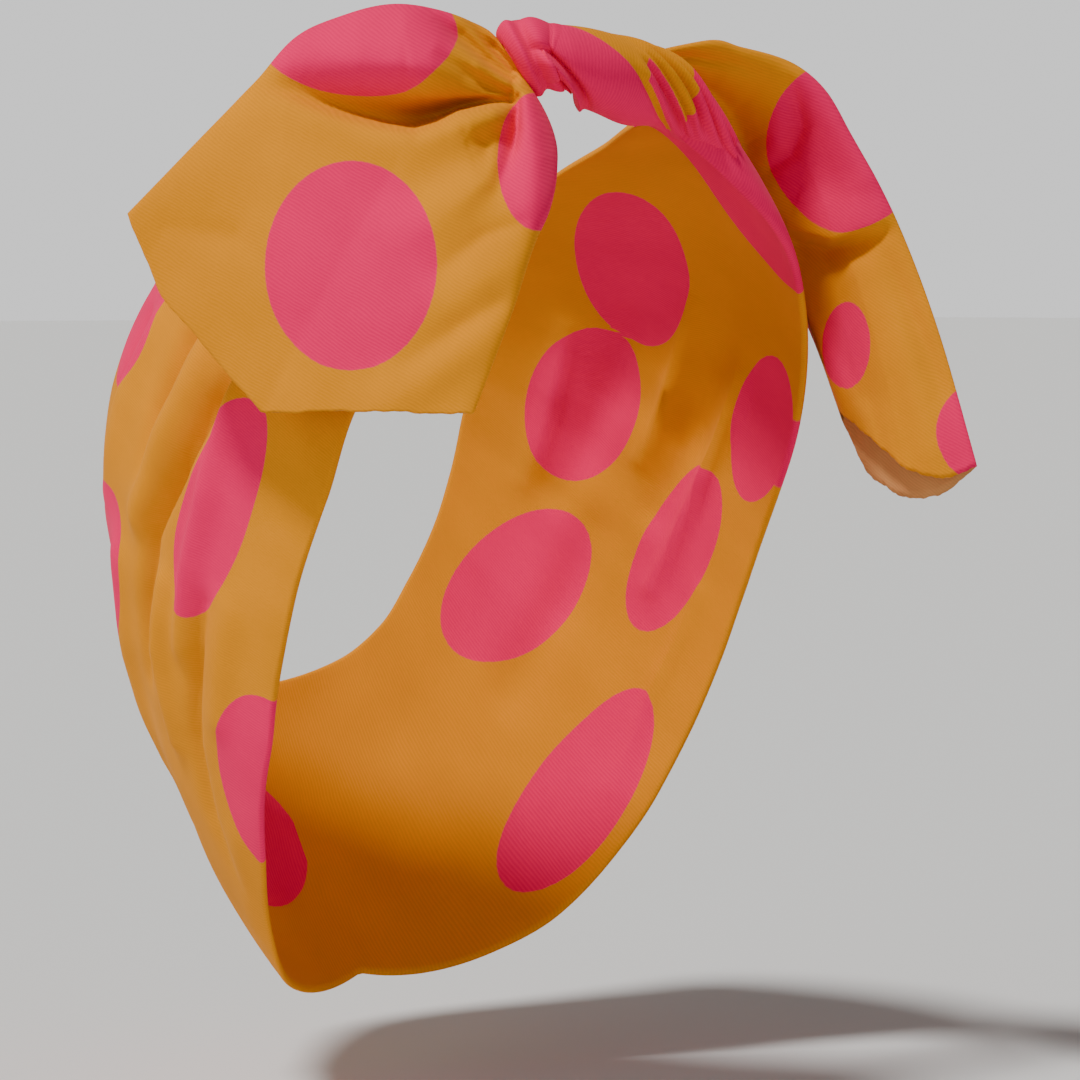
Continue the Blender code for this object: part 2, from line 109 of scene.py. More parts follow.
def creases(lines, x, y, scale=1.0):
    total = np.zeros(np.shape(x))
    for line in lines:
        nearest = np.full(np.shape(x), np.inf)
        here = np.zeros(np.shape(x))
        for a, b in zip(line, line[1:]):
            dx, dy = b.x - a.x, b.y - a.y
            t = np.clip(((x - a.x) * dx + (y - a.y) * dy) / (dx * dx + dy * dy), 0, 1)
            ex, ey = x - a.x - t * dx, y - a.y - t * dy
            away = np.hypot(ex, ey)
            side = 0.5 + 0.5 * (dx * ey - dy * ex) / np.maximum(away * math.hypot(dx, dy), 1e-9)
            left = a.left + (b.left - a.left) * t
            right = a.right + (b.right - a.right) * t
            width = right + (left - right) * side
            height = a.height + (b.height - a.height) * t
            bump = fold_profile(away * scale / width, height)
            closer = away < nearest
            nearest = np.where(closer, away, nearest)
            here = np.where(closer, bump, here)
        total += here
    return total


# %% [markdown]
# ## A grid of cloth
#
# Cloth is woven or knitted flat, so every piece starts as a flat grid.
# Its points are then moved to their places, and edges that meet are sewn by merging them.
# Each point also remembers three things for the material: its place on the flat cloth in millimetres,
# how far inside a printed dot it lies, and whether it is on the reverse of the cloth.

# %% Make, shape and sew one piece of cloth
def cloth_grid(along, around):
    bm = bmesh.new()
    bmesh.ops.create_grid(bm, x_segments=along, y_segments=around, size=0.5)
    at = np.array([v.co[:2] for v in bm.verts]) + 0.5
    return bm, at[:, 0], at[:, 1]


# One unit of the flat_cloth map is this many millimetres.
UV_SPAN = 100.0
MERGE_AT = 1e-7


def sew(name, bm, places, flat, dots, reverse, node):
    dot_layer = bm.verts.layers.float.new("dot")
    reverse_layer = bm.verts.layers.float.new("reverse")
    for v, place, dot, back in zip(bm.verts, places * MM, dots, reverse):
        v.co = place
        v[dot_layer] = dot
        v[reverse_layer] = back
    uv = bm.loops.layers.uv.new("flat_cloth")
    for face in bm.faces:
        face.smooth = True
        for loop in face.loops:
            loop[uv].uv = flat[loop.vert.index] / UV_SPAN
    bmesh.ops.remove_doubles(bm, verts=bm.verts, dist=MERGE_AT)
    open_edges = [e for e in bm.edges if e.is_boundary]
    if open_edges:
        filled = bmesh.ops.holes_fill(bm, edges=open_edges, sides=0)
        bmesh.ops.triangulate(bm, faces=filled["faces"])
    bmesh.ops.recalc_face_normals(bm, faces=bm.faces)
    mesh = bpy.data.meshes.new(name)
    bm.to_mesh(mesh)
    bad = sum(1 for e in bm.edges if len(e.link_faces) != 2)
    area = sum(f.calc_area() for f in bm.faces) / 2
    thick = bm.calc_volume() / area * 1000
    bm.free()
    piece = bpy.data.objects.new(name, mesh)
    bpy.context.scene.collection.objects.link(piece)
    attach(piece, "root")
    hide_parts(node)
    edges = f"{len(mesh.polygons)} faces, {bad} open edges"
    print(f"{name}: {edges}, {area:.4f} m2 a side, {thick:.1f} mm thick")
    return piece


# %% [markdown]
# ## Printed dots
#
# The dots were printed on the flat tube, so knotting it stretches and folds them.
# A dot is kept as an oval on the cloth, with a distance in millimetres to its edge.
# The distance is stored on the points and the material turns it into a sharp edge,
# so the edge stays crisp however coarse the grid is.

# %% Distance to the edge of the nearest dot: positive inside
Dot = namedtuple("Dot", "x y half_x half_y")
NO_DOT = -40.0


def inside_dots(dots, x, y, scale=1.0):
    best = np.full(np.shape(x), NO_DOT)
    for d in dots:
        reach = np.hypot((x - d.x) / d.half_x, (y - d.y) / d.half_y)
        size = scale * math.sqrt(d.half_x * d.half_y)
        best = np.maximum(best, (1 - reach) * size)
    return best


# %% [markdown]
# ## The head that shapes the loop
#
# Only the headband is made, but its loop keeps the shape of the wearer's head.
# The head is a rounded form of four half sizes, and a place on it is given by two angles:
# one round the loop, from the knot (0) past the wearer's right to the nape (180), and one across it.

# %% Head form
HEAD_CENTRE = np.array([0.0, 47.0, -81.4])
HEAD_HALF_WIDTH = 74.0
HEAD_HALF_FRONT = 94.0
HEAD_HALF_BACK = 100.0
HEAD_UP = 94.0
HEAD_DOWN = 141.0
BAND_TILT = math.radians(30.0)


def unit(rows):
    return rows / np.linalg.norm(rows, axis=1)[:, None]


def head_direction(angle, across):
    up = np.array([0.0, -math.sin(BAND_TILT), math.cos(BAND_TILT)])
    back = np.array([0.0, math.cos(BAND_TILT), math.sin(BAND_TILT)])
    side = np.array([-1.0, 0.0, 0.0])
    a, c = np.radians(angle)[:, None], np.radians(across)[:, None]
    return np.cos(c) * (np.cos(a) * up + np.sin(a) * side) + np.sin(c) * back


def over_head(angle, across, off):
    d = head_direction(angle, across)
    depth = np.where(d[:, 1] < 0, HEAD_HALF_FRONT, HEAD_HALF_BACK)
    height = np.where(d[:, 2] > 0, HEAD_UP, HEAD_DOWN)
    x, y, z = d[:, 0] / HEAD_HALF_WIDTH, d[:, 1] / depth, d[:, 2] / height
    radius = 1 / np.sqrt(x**2 + y**2 + z**2)
    return HEAD_CENTRE + d * (radius + off)[:, None]


# %% [markdown]
# ## The loop
#
# The loop is the tube pressed flat, so it is two layers thick with a soft fold along each edge.
# Its grid is wrapped round a thin section: over the outer face, round the rear fold,
# back under the inner face and round the front fold, where it is sewn to its start.
# The table gives its edges, how far it stands off the head at the front edge, middle and back edge,
# and how thick it is, at steps round the loop.

# %% Loop tables
BandRow = namedtuple("BandRow", "angle front rear edge middle back wall")
BAND_WALL = 2.0
RIGHT_SIDE = (
    BandRow(12.0, 1.5, 10, 2.4, 7.4, 2.6, 4.2),
    BandRow(16.0, -1.5, 13, 3.2, 6.6, 3.6, 3.6),
    BandRow(22, -6, 18, 3.6, 6.0, 3.8, 3.0),
    BandRow(32, -12, 29, 3.2, 5.0, 3.8, 2.5),
    BandRow(45, -16, 44, 2.8, 4.0, 3.6, BAND_WALL),
    BandRow(61, -20, 53, 2.6, 3.6, 3.6, BAND_WALL),
    BandRow(75, -24, 55, 2.5, 3.4, 3.4, BAND_WALL),
    BandRow(90, -25.5, 56, 2.5, 4.0, 4.8, BAND_WALL),
    BandRow(107, -26.5, 53, 2.5, 4.8, 6.2, BAND_WALL),
    BandRow(118, -26.5, 50, 2.5, 5.0, 6.6, BAND_WALL),
    BandRow(130, -24.8, 45, 2.5, 4.0, 4.6, BAND_WALL),
    BandRow(140, -23.4, 40, 2.4, 3.0, 3.6, BAND_WALL),
    BandRow(150, -20.7, 35, 2.3, 1.4, 3.0, BAND_WALL),
    BandRow(158, -18, 31, 2.4, 1.2, 2.8, BAND_WALL),
    BandRow(166, -14, 29, 2.6, 1.8, 2.6, BAND_WALL),
    BandRow(180, -8, 28, 2.4, 2.4, 2.4, BAND_WALL),
)
LEFT_SIDE = (
    BandRow(11.3, -0.4, 2.6, 5.4, 12.0, 5.0, 2.6),
    BandRow(15, -3.4, 7.6, 4.8, 12.2, 4.4, 2.6),
    BandRow(21, -7, 15, 5.4, 11.2, 4.0, 3.4),
    BandRow(32, -11, 28, 5.6, 8.4, 3.8, 2.6),
    BandRow(45, -13, 44, 4.6, 6.0, 3.6, BAND_WALL),
    BandRow(61, -15, 53, 3.6, 4.4, 3.6, BAND_WALL),
    BandRow(75, -16, 55, 3.0, 3.8, 3.4, BAND_WALL),
    BandRow(90, -16, 56, 2.7, 3.8, 4.4, BAND_WALL),
    BandRow(107, -17, 53, 2.5, 4.2, 5.4, BAND_WALL),
    BandRow(118, -18, 50, 2.5, 4.4, 5.6, BAND_WALL),
    BandRow(130, -18.5, 45, 2.5, 3.8, 4.4, BAND_WALL),
    BandRow(140, -18.5, 40, 2.4, 3.0, 3.6, BAND_WALL),
    BandRow(150, -17.5, 35, 2.3, 2.0, 3.0, BAND_WALL),
    BandRow(158, -16, 31, 2.4, 1.8, 2.8, BAND_WALL),
    BandRow(166, -13, 29, 2.6, 2.0, 2.6, BAND_WALL),
    BandRow(180, -8, 28, 2.4, 2.4, 2.4, BAND_WALL),
)

# %% Folds of the loop, in degrees round and across it, with widths and heights in millimetres
# Each row is one fold, and its spots run from the knot towards the nape.
DEGREE = 1.48
RIGHT_FOLDS = (
    (Spot(66, 20, 5, 5, -1.0), Spot(74, 21, 5, 4, -2.6), Spot(88, 21, 5, 4, -2.6),
     Spot(98, 19, 5, 5, -0.8)),
    (Spot(64, 12, 6, 6, 1.0), Spot(84, 13, 6, 5, 2.0), Spot(104, 15, 6, 6, 1.4)),
    (Spot(68, 4, 4, 4, -1.2), Spot(77, 6, 4, 3.4, -2.8), Spot(91, 7, 4, 3.4, -2.8),
     Spot(104, 10, 4, 4, -2.6), Spot(118, 8, 4, 4, -2.4), Spot(130, 6, 4, 4, -0.8)),
    (Spot(70, 1, 3, 6, 1.6), Spot(88, -2, 3, 6, 2.0), Spot(106, -4, 3, 5, 1.8),
     Spot(116, -5, 3, 5, 1.0)),
    (Spot(110, 3, 3, 4, 1.0), Spot(120, 1, 3, 4, 1.8), Spot(133, -4, 3, 4, 1.2)),
    (Spot(106, -9, 4, 4, -0.8), Spot(118, -9.5, 4, 3, -2.2), Spot(130, -10, 4, 3, -2.2),
     Spot(140, -13, 4, 3, -1.8), Spot(147, -17, 4, 3, -0.6)),
    (Spot(104, -15, 5, 5, 1.0), Spot(122, -16, 5, 4, 1.2)),
    (Spot(76, 33, 6, 6, 1.2), Spot(96, 33, 6, 6, 1.8), Spot(112, 31, 6, 6, 1.0)),
    (Spot(80, 43, 5, 5, -1.2), Spot(98, 42, 5, 4, -2.0), Spot(118, 38, 5, 5, -1.0)),
    (Spot(118, 20, 6, 6, 1.0), Spot(134, 15, 6, 5, 1.5), Spot(148, 9, 5, 5, 0.8)),
    (Spot(126, 26, 3, 3, -0.4), Spot(138, 22, 3, 2.4, -1.2), Spot(152, 16, 3, 3, -0.5)),
    (Spot(140, -19, 4, 4, 0.8), Spot(153, -18, 4, 4, 1.0)),
    (Spot(150, 0, 4, 4, -0.4), Spot(162, -3, 4, 4, -1.0), Spot(176, -1, 4, 4, -0.4)),
)
LEFT_FOLDS = (
    (Spot(64, 17, 5, 5, -1.0), Spot(82, 18, 5, 4, -2.2), Spot(100, 19, 5, 5, -1.0)),
    (Spot(66, 9, 6, 6, 1.0), Spot(86, 10, 6, 5, 1.8), Spot(106, 11, 6, 6, 1.0)),
    (Spot(70, 2, 4, 4, -1.2), Spot(94, 3, 4, 3.4, -2.4), Spot(118, 3, 4, 4, -1.0)),
    (Spot(74, 30, 6, 6, 1.0), Spot(94, 31, 6, 6, 1.8), Spot(116, 30, 6, 6, 1.0)),
    (Spot(82, 42, 5, 5, -1.0), Spot(100, 40, 5, 4, -2.0), Spot(120, 36, 5, 5, -1.0)),
    (Spot(112, -8, 4, 4, -0.8), Spot(128, -9, 4, 3.4, -2.0), Spot(144, -12, 4, 4, -0.8)),
    (Spot(118, 20, 6, 6, 0.8), Spot(132, 16, 6, 6, 1.4), Spot(146, 12, 6, 6, 0.8)),
)
FOLD_DEPTH = 1.8
NAPE_BLEND = 150.0
UNEVEN = 0.25

# %% Gathers beside the knot: how many, how high, and the angle where they have flattened out
BAND_PLEATS = 6
PLEAT_HEIGHT = 1.5
PLEAT_END = 58.0
SMOOTH_FRONT = (0.12, 0.47)

# %% Shape of the loop
def sided(angle, column):
    right = curve(RIGHT_SIDE, "angle", column, angle)
    left = curve(LEFT_SIDE, "angle", column, 360 - angle)
    return np.where(angle <= 180, right, left)


def band_places(angle, share, inner):
    own = np.where(angle <= 180, angle, 360 - angle)
    front, rear = sided(angle, "front"), sided(angle, "rear")
    edge, middle, back, wall = (sided(angle, k) for k in ("edge", "middle", "back", "wall"))
    across = front + (rear - front) * share
    # arch lifts the middle of the loop, and inset keeps folds and gathers away from its edges
    arch = np.sin(np.pi * share) ** 0.8
    inset = np.sin(np.pi * share) ** 0.5
    off = edge + (back - edge) * share + (middle - (edge + back) / 2) * arch
    right = creases(RIGHT_FOLDS, own, across, DEGREE) * FOLD_DEPTH
    left = creases(LEFT_FOLDS, own, across, DEGREE) * FOLD_DEPTH
    # both sides share their folds at the nape, so that no step shows there
    shared = np.clip((own - NAPE_BLEND) / (180 - NAPE_BLEND), 0, 1) ** 2 / 2
    this_side, other_side = np.where(angle <= 180, right, left), np.where(angle <= 180, left, right)
    off = off + (this_side * (1 - shared) + other_side * shared) * inset
    gathered = np.clip(1 - own / PLEAT_END, 0, 1)
    turn = 2 * np.pi * BAND_PLEATS * share
    # near its front edge the loop's left side is stretched smooth
    calm = np.clip((share - SMOOTH_FRONT[0]) / (SMOOTH_FRONT[1] - SMOOTH_FRONT[0]), 0, 1)
    reach = PLEAT_HEIGHT * gathered * inset
    pleats = reach * np.where(angle > 180, calm, 1.0) * (np.cos(turn) + 0.35 * np.cos(2 * turn + 1.0))
    off = off + np.where(inner, -wall - reach, pleats)
    # hand-tied cloth is never quite even
    uneven = UNEVEN * np.sin(own / 3.1 + across / 4.7) * np.sin(own / 7.3 - across / 3.7 + 1.0)
    return own, across, over_head(angle, across, off + uneven * inset)


# %% The loop's grid, wrapped round its section
BAND_STEPS = 420
BAND_AROUND = 150
OUTER_END, REAR_END, INNER_END = 0.60, 0.66, 0.94
STEP_IN = 0.02
EDGE_FULLNESS = 1.2
END_TUCK = 2.2
END_HEIGHT = 0.25
start, stop = RIGHT_SIDE[0].angle, 360 - LEFT_SIDE[0].angle
bm, x, y = cloth_grid(BAND_STEPS, BAND_AROUND)
angle = start + (stop - start) * x
part = [y <= OUTER_END, y < REAR_END, y <= INNER_END]
on_outer = np.clip(y / OUTER_END, 0, 1)
on_inner = np.clip((INNER_END - y) / (INNER_END - REAR_END), 0, 1)
share = np.select(part, [on_outer, 1.0, on_inner], 0.0)
own, across, outer = band_places(angle, share, False)
inner = band_places(angle, share, True)[2]
step_in = band_places(angle, np.abs(share - STEP_IN), False)[2]
beyond = unit(outer - step_in)
middle_place = (outer + inner) / 2
half = (outer - inner) / 2
round_rear = np.clip((y - OUTER_END) / (REAR_END - OUTER_END), 0, 1) * np.pi
round_front = np.pi + np.clip((y - INNER_END) / (1 - INNER_END), 0, 1) * np.pi
turn = np.select(part, [0.0, round_rear, np.pi], round_front)
radius = np.linalg.norm(half, axis=1)[:, None]
bulge = beyond * radius * np.abs(np.sin(turn))[:, None] * EDGE_FULLNESS
places = middle_place + half * np.cos(turn)[:, None] + bulge
# both ends of the loop round off where they go into the knot
tuck = np.clip(np.minimum(angle - start, stop - angle) / END_TUCK, 0, 1)
tuck = END_HEIGHT + (1 - END_HEIGHT) * np.sqrt(1 - (1 - tuck) ** 2)
places = middle_place + (places - middle_place) * tuck[:, None]

# %% Dots of the loop, in degrees round and across it
RIGHT_DOTS = (
    Dot(83, 46, 17, 14.5),
    Dot(90, -5, 20, 8.5),
    Dot(127, 27, 18, 11),
    Dot(127, -27, 14, 11),
    Dot(56, 22, 15, 12),
    Dot(40, -8, 12, 8),
    Dot(166, 8, 14, 10),
)
LEFT_DOTS = (
    Dot(22, -4, 23, 20),
    Dot(62, 30, 17, 12),
    Dot(76, -8, 15, 9),
    Dot(97, 34, 18, 11),
    Dot(108, 2, 17, 9),
    Dot(134, 24, 16, 10),
    Dot(146, -8, 15, 8),
)
BAND_GIRTH = 150.0
BAND_DEGREE = 1.62
right_dots = inside_dots(RIGHT_DOTS, own, across, DEGREE)
left_dots = inside_dots(LEFT_DOTS, own, across, DEGREE)
dots = np.where(angle <= 180, right_dots, left_dots)
flat = np.column_stack([y * BAND_GIRTH, angle * BAND_DEGREE])
wrap_band = sew("wrap_band", bm, places, flat, dots, np.zeros(len(x)), "head_band")

# %% [markdown]
# ## The knot
#
# The middle of the knot is the tube gathered tight and twisted,
# so it shows as a roll with folds that wind round it.
# A grid is bent into a tube, and its folds are kept in a turned coordinate that winds with the twist.
# That keeps every fold at one number, so a table can say how deep each is and which ones are pink.

# %% The roll's path and its winding folds
RollRow = namedtuple("RollRow", "along x y z up out")
ROLL = (
    RollRow(-0.06, -20.4, -2.9, 14.8, 7.0, 6.0),
    RollRow(0.00, -18.6, -2.6, 14.4, 7.4, 6.4),
    RollRow(0.10, -15.4, -2.2, 13.6, 7.8, 7.6),
    RollRow(0.30, -8.0, -1.2, 12.2, 8.4, 8.4),
    RollRow(0.50, 0.4, -0.4, 10.8, 8.8, 8.8),
    RollRow(0.70, 8.0, 0.0, 9.4, 8.8, 8.8),
    RollRow(0.86, 13.8, 0.0, 8.4, 8.4, 8.6),
    RollRow(0.96, 17.6, -0.2, 7.2, 8.0, 8.2),
    RollRow(1.12, 23.2, -0.9, 3.6, 6.9, 7.0),
    RollRow(1.28, 28.6, -1.4, -0.6, 5.2, 6.4),
    RollRow(1.44, 33.4, -1.8, -4.6, 3.4, 5.6),
)
ROLL_WINDING = 190.0
Pleat = namedtuple("Pleat", "phase wide height start end")
ROLL_PLEATS = (
    Pleat(82, 13, -2.6, -0.2, 0.42),
    Pleat(108, 12, 1.2, -0.2, 0.48),
    Pleat(24, 40, 1.0, 0.05, 0.95),
    Pleat(-39, 7, -0.9, 0.45, 1.08),
    Pleat(-56, 8, 0.7, 0.50, 1.10),
    Pleat(-72, 8, -2.0, 0.55, 1.14),
    Pleat(-83, 5, 0.7, 0.50, 1.12),
    Pleat(-92, 6, -1.2, 0.60, 1.14),
    Pleat(-104, 9, 1.1, 0.45, 1.18),
    Pleat(-122, 9, -1.8, 0.35, 1.22),
    Pleat(-140, 9, 0.8, 0.25, 1.30),
    Pleat(-158, 9, -1.4, 0.15, 1.40),
    Pleat(-182, 14, 0.7, -0.2, 1.6),
    Pleat(-206, 10, -1.3, -0.2, 1.6),
    Pleat(-234, 14, 0.7, -0.2, 1.6),
)
ROLL_PINCH = 2.0
PLEAT_FADE = 0.15
LEAN_DONE = 0.55
END_CLOSE = 0.04
END_OPEN = 0.35

# %% Directions of the knot's left end: across and out with the tails, and the way that the wrap leans
TAIL_TURN = math.radians(-38.0)
WRAP_LEAN = math.radians(24.0)
across_axis = np.array([math.cos(TAIL_TURN), math.sin(TAIL_TURN), 0.0])
out_axis = np.array([math.sin(TAIL_TURN), -math.cos(TAIL_TURN), 0.0])
up_axis = np.array([0.0, 0.0, 1.0])
longways = -math.sin(WRAP_LEAN) * across_axis + math.cos(WRAP_LEAN) * up_axis
axis = math.cos(WRAP_LEAN) * across_axis + math.sin(WRAP_LEAN) * up_axis


# %% Shape of the roll
def roll_place(t, turn, lift=0.0):
    # the roll leans with the wrap at its left end and with the loop at its right
    right_up = head_direction(np.array([-LEFT_SIDE[0].angle]), np.array([0.0]))[0]
    right_out = np.array([0.0, -right_up[2], right_up[1]]) / math.hypot(right_up[1], right_up[2])
    lean = smooth_step(np.clip(t / LEAN_DONE, 0, 1))[:, None]
    up = unit(longways * (1 - lean) + right_up * lean)
    out = unit(out_axis * (1 - lean) + right_out * lean)
    centre = np.column_stack([curve(ROLL, "along", k, t, True) for k in "xyz"])
    phase = np.degrees(turn) - ROLL_WINDING * t
    swell = np.zeros(len(t))
    for p in ROLL_PLEATS:
        away = ((phase - p.phase + 180) % 360 - 180) / p.wide
        shown = np.clip((t - p.start) / PLEAT_FADE, 0, 1) * np.clip((p.end - t) / PLEAT_FADE, 0, 1)
        swell += shown * fold_profile(away, p.height, ROLL_PINCH)
    high = curve(ROLL, "along", "up", t, True) + swell + lift
    wide = curve(ROLL, "along", "out", t, True) + swell + lift
    first, last = ROLL[0].along, ROLL[-1].along
    close = np.clip(1 - np.minimum(t - first, last - t) / END_CLOSE, 0, 1)
    close = END_OPEN + (1 - END_OPEN) * np.sqrt(1 - close**2)
    rise = up * (high * close * np.cos(turn))[:, None]
    stand = out * (wide * close * np.sin(turn))[:, None]
    return centre + rise + stand, phase


ROLL_STEPS = 190
ROLL_AROUND = 240
bm, x, y = cloth_grid(ROLL_STEPS, ROLL_AROUND)
t = ROLL[0].along + (ROLL[-1].along - ROLL[0].along) * x
places, phase = roll_place(t, 2 * np.pi * y)

# %% Print on the roll: pink between pairs of winding phases, with lengths in millimetres
Stripe = namedtuple("Stripe", "first last start")
PINK_STRIPES = (Stripe(-37, 150, -1.0), Stripe(-82, -48, 0.60))
ROLL_DEGREE = 0.15
ROLL_LENGTH = 38.0
ROLL_CLOTH = 42.0
PINK_TO = 0.14
PINK_FROM = 1.0
STRAND_MIDDLE = 100.0
STRAND_HALF = 12.0
STRAND_DEGREE = 0.13
dots = np.full(len(x), NO_DOT)
for stripe in PINK_STRIPES:
    away = np.abs((phase - (stripe.first + stripe.last) / 2 + 180) % 360 - 180)
    reach = ((stripe.last - stripe.first) / 2 - away) * ROLL_DEGREE
    reach = np.minimum(reach, (t - stripe.start) * ROLL_LENGTH)
    dots = np.maximum(dots, reach)
# the left end is pink all round, and so is the front of the strand that leaves the right end
dots = np.maximum(dots, (PINK_TO - t) * ROLL_LENGTH)
strand = STRAND_HALF - np.abs(y * 360 - STRAND_MIDDLE) * STRAND_DEGREE
dots = np.maximum(dots, np.minimum((t - PINK_FROM) * ROLL_LENGTH, strand))
flat = np.column_stack([phase * ROLL_DEGREE, t * ROLL_CLOTH])
knot_roll = sew("twisted_roll", bm, places, flat, dots, np.zeros(len(x)), "knot_roll")

# %% [markdown]
# ## The narrow wrap
#
# One strand of the knot passes once round the neck of the right tail and holds it.
# On its left it is a ring of its own. On its right it runs into the roll,
# as one twist of the same cloth, so its grid starts on the ring and ends on the roll's skin.
# Its folds fan open upwards from the pinch at its lower front.

# %% Tables of the wrap, at steps round it and at shares of its width
WRAP_CENTRE = np.array([-21.8, 0.0, 13.6])
WRAP_INNER_LONG = 6.4
WRAP_INNER_OUT = 5.0
FanRow = namedtuple("FanRow", "turn left right reach thick")
FAN = (
    FanRow(0, -4.6, 2.6, 0.26, 2.8),
    FanRow(45, -4.0, 2.4, 0.22, 2.9),
    FanRow(80, -3.4, 2.4, 0.13, 2.8),
    FanRow(115, -3.0, 2.4, 0.07, 2.5),
    FanRow(150, -3.0, 2.4, 0.07, 2.4),
    FanRow(220, -3.6, 2.4, 0.10, 2.4),
    FanRow(300, -4.2, 2.4, 0.20, 2.6),
    FanRow(360, -4.6, 2.6, 0.26, 2.8),
)
FanFold = namedtuple("FanFold", "at wide height")
FAN_FOLDS = (
    FanFold(0.24, 0.12, 0.5),
    FanFold(0.42, 0.08, -2.0),
    FanFold(0.56, 0.10, 0.8),
    FanFold(0.71, 0.08, -2.0),
)
PINCH_AT = 75.0
PINCH_WIDE = 70.0

# %% Shape of the wrap: the share of its grid and width where each part of it starts, and its heights
OUTSIDE = 0.75
ROUND_EDGE = 0.35
RING_SHARE = 0.62
RING_REACH = 1.35
SKIN_FROM = 0.30
SKIN_START = -0.02
COVER = 1.2
EDGE_DIP = 0.45
UNDER_SKIN = 0.9
FOLD_ON_ROLL = 0.7
BLEND_FROM, BLEND_TO = 0.34, 0.68
WRAP_STEPS = 260
WRAP_AROUND = 150
bm, x, y = cloth_grid(WRAP_STEPS, WRAP_AROUND)
a = 2 * np.pi * x
degrees = np.degrees(a)
outside = y < OUTSIDE
going_over = 0.5 - 0.5 * np.cos(np.pi * np.minimum(y / OUTSIDE, 1))
coming_back = np.clip((1 - y) / (1 - OUTSIDE), 0, 1)
share = np.where(outside, going_over, coming_back)
columns = ("left", "right", "reach", "thick")
left, right, reach, thick = (curve(FAN, "turn", k, degrees, True) for k in columns)
rounded = np.sqrt(np.clip(1 - np.clip(1 - share / ROUND_EDGE, 0, 1) ** 2.4, 0, 1))
folds = np.zeros(len(x))
for f in FAN_FOLDS:
    folds += fold_profile((share - f.at) / f.wide, f.height, ROLL_PINCH)
# the folds are deepest at the pinch in front and run out towards both edges
at_pinch = np.exp(-(((degrees - PINCH_AT) / PINCH_WIDE) ** 2))
folds *= (0.45 + 0.55 * at_pinch) * np.sin(np.pi * share) ** 0.4
lift = np.where(outside, np.maximum(rounded * thick + folds * rounded, 0.05), 0.0)
ring = (
    WRAP_CENTRE
    + longways * ((WRAP_INNER_LONG + lift) * np.cos(a))[:, None]
    + out_axis * ((WRAP_INNER_OUT + lift) * np.sin(a))[:, None]
    + axis * (left + (right - left) * np.minimum(share / RING_SHARE, RING_REACH))[:, None]
)
# on the roll the wrap thins out, and its far edge dips just under the roll's skin
on_roll = np.clip((share - SKIN_FROM) / (1 - SKIN_FROM), 0, 1)
fading = 1 - on_roll**2
cover = np.where(outside, COVER * fading - EDGE_DIP * on_roll, -UNDER_SKIN)
cover = cover + folds * FOLD_ON_ROLL * fading
skin = roll_place(SKIN_START + reach * on_roll, a, cover)[0]
blend = smooth_step(np.clip((share - BLEND_FROM) / (BLEND_TO - BLEND_FROM), 0, 1))[:, None]
places = ring * (1 - blend) + skin * blend
WRAP_WIDTH = 12.0
flat = np.column_stack([share * WRAP_WIDTH, degrees * ROLL_DEGREE])
ALL_PINK = 6.0
dots = np.full(len(x), ALL_PINK)
narrow_wrap = sew("narrow_wrap", bm, places, flat, dots, np.zeros(len(x)), "knot_turn")

# %% [markdown]
# ## The tails
#
# Each tail is the open end of the tube, pressed nearly flat:
# a front layer, a back layer and a mouth between them.
# Two edge curves and the line of the cut say where the flat sleeve runs,
# a column of half thicknesses fills it, and the creases push its layers in and out.
# The grid runs down the outside, turns in at the cut edge and goes back up the inside,
# so the pale reverse of the print shows in the mouth. It goes as deep as the mouth can be seen into.

# %% Tail tables: across, up and out, in a frame turned with the tails
Edge = namedtuple("Edge", "at across up out")
Belly = namedtuple("Belly", "at half")
RIGHT_TOP = (
    Edge(0.00, -1.6, 7.6, 0.0),
    Edge(0.05, -5.2, 6.6, 0.6),
    Edge(0.08, -8.4, 9.4, 1.4),
    Edge(0.12, -13.0, 11.6, 2.8),
    Edge(0.24, -27.0, 14.5, 6.0),
    Edge(0.38, -41.0, 11.5, 7.0),
    Edge(0.49, -50.0, 7.0, 9.0),
    Edge(0.60, -58.0, -2.0, 12.0),
    Edge(0.80, -72.0, -17.0, 16.5),
    Edge(1.00, -85.0, -31.0, 21.0),
)
RIGHT_EDGE = (
    Edge(0.00, 2.0, -0.6, 0.0),
    Edge(0.05, 0.6, -3.0, 0.8),
    Edge(0.08, 2.6, -5.9, 1.6),
    Edge(0.12, 4.7, -10.0, 3.6),
    Edge(0.17, 6.2, -14.6, 7.6),
    Edge(0.26, 6.5, -21.5, 16.0),
    Edge(0.38, 5.0, -30.0, 26.0),
    Edge(0.50, 2.0, -37.0, 31.0),
    Edge(0.75, -3.0, -52.0, 38.0),
    Edge(1.00, -11.0, -73.0, 41.0),
)
RIGHT_END = (
    Edge(0.00, -85.0, -31.0, 21.0),
    Edge(0.22, -77.5, -48.5, 23.0),
    Edge(0.48, -56.0, -73.0, 29.0),
    Edge(0.74, -33.0, -72.4, 36.0),
    Edge(1.00, -11.0, -73.0, 41.0),
)
RIGHT_BELLY = (
    Belly(0.00, 3.8),
    Belly(0.06, 3.8),
    Belly(0.15, 5.2),
    Belly(0.35, 6.4),
    Belly(0.60, 4.6),
    Belly(0.85, 2.7),
    Belly(1.00, 2.0),
)
LEFT_INNER = (
    Edge(0.00, -6.0, 0.5, 1.0),
    Edge(0.04, -7.4, 2.2, -6.0),
    Edge(0.10, 0.6, 1.0, -16.2),
    Edge(0.20, 9.8, -7.2, -27.2),
    Edge(0.40, 18.0, -22.0, -42.0),
    Edge(0.60, 26.0, -37.0, -49.0),
    Edge(0.80, 33.0, -53.0, -50.0),
    Edge(1.00, 40.0, -74.0, -43.0),
)
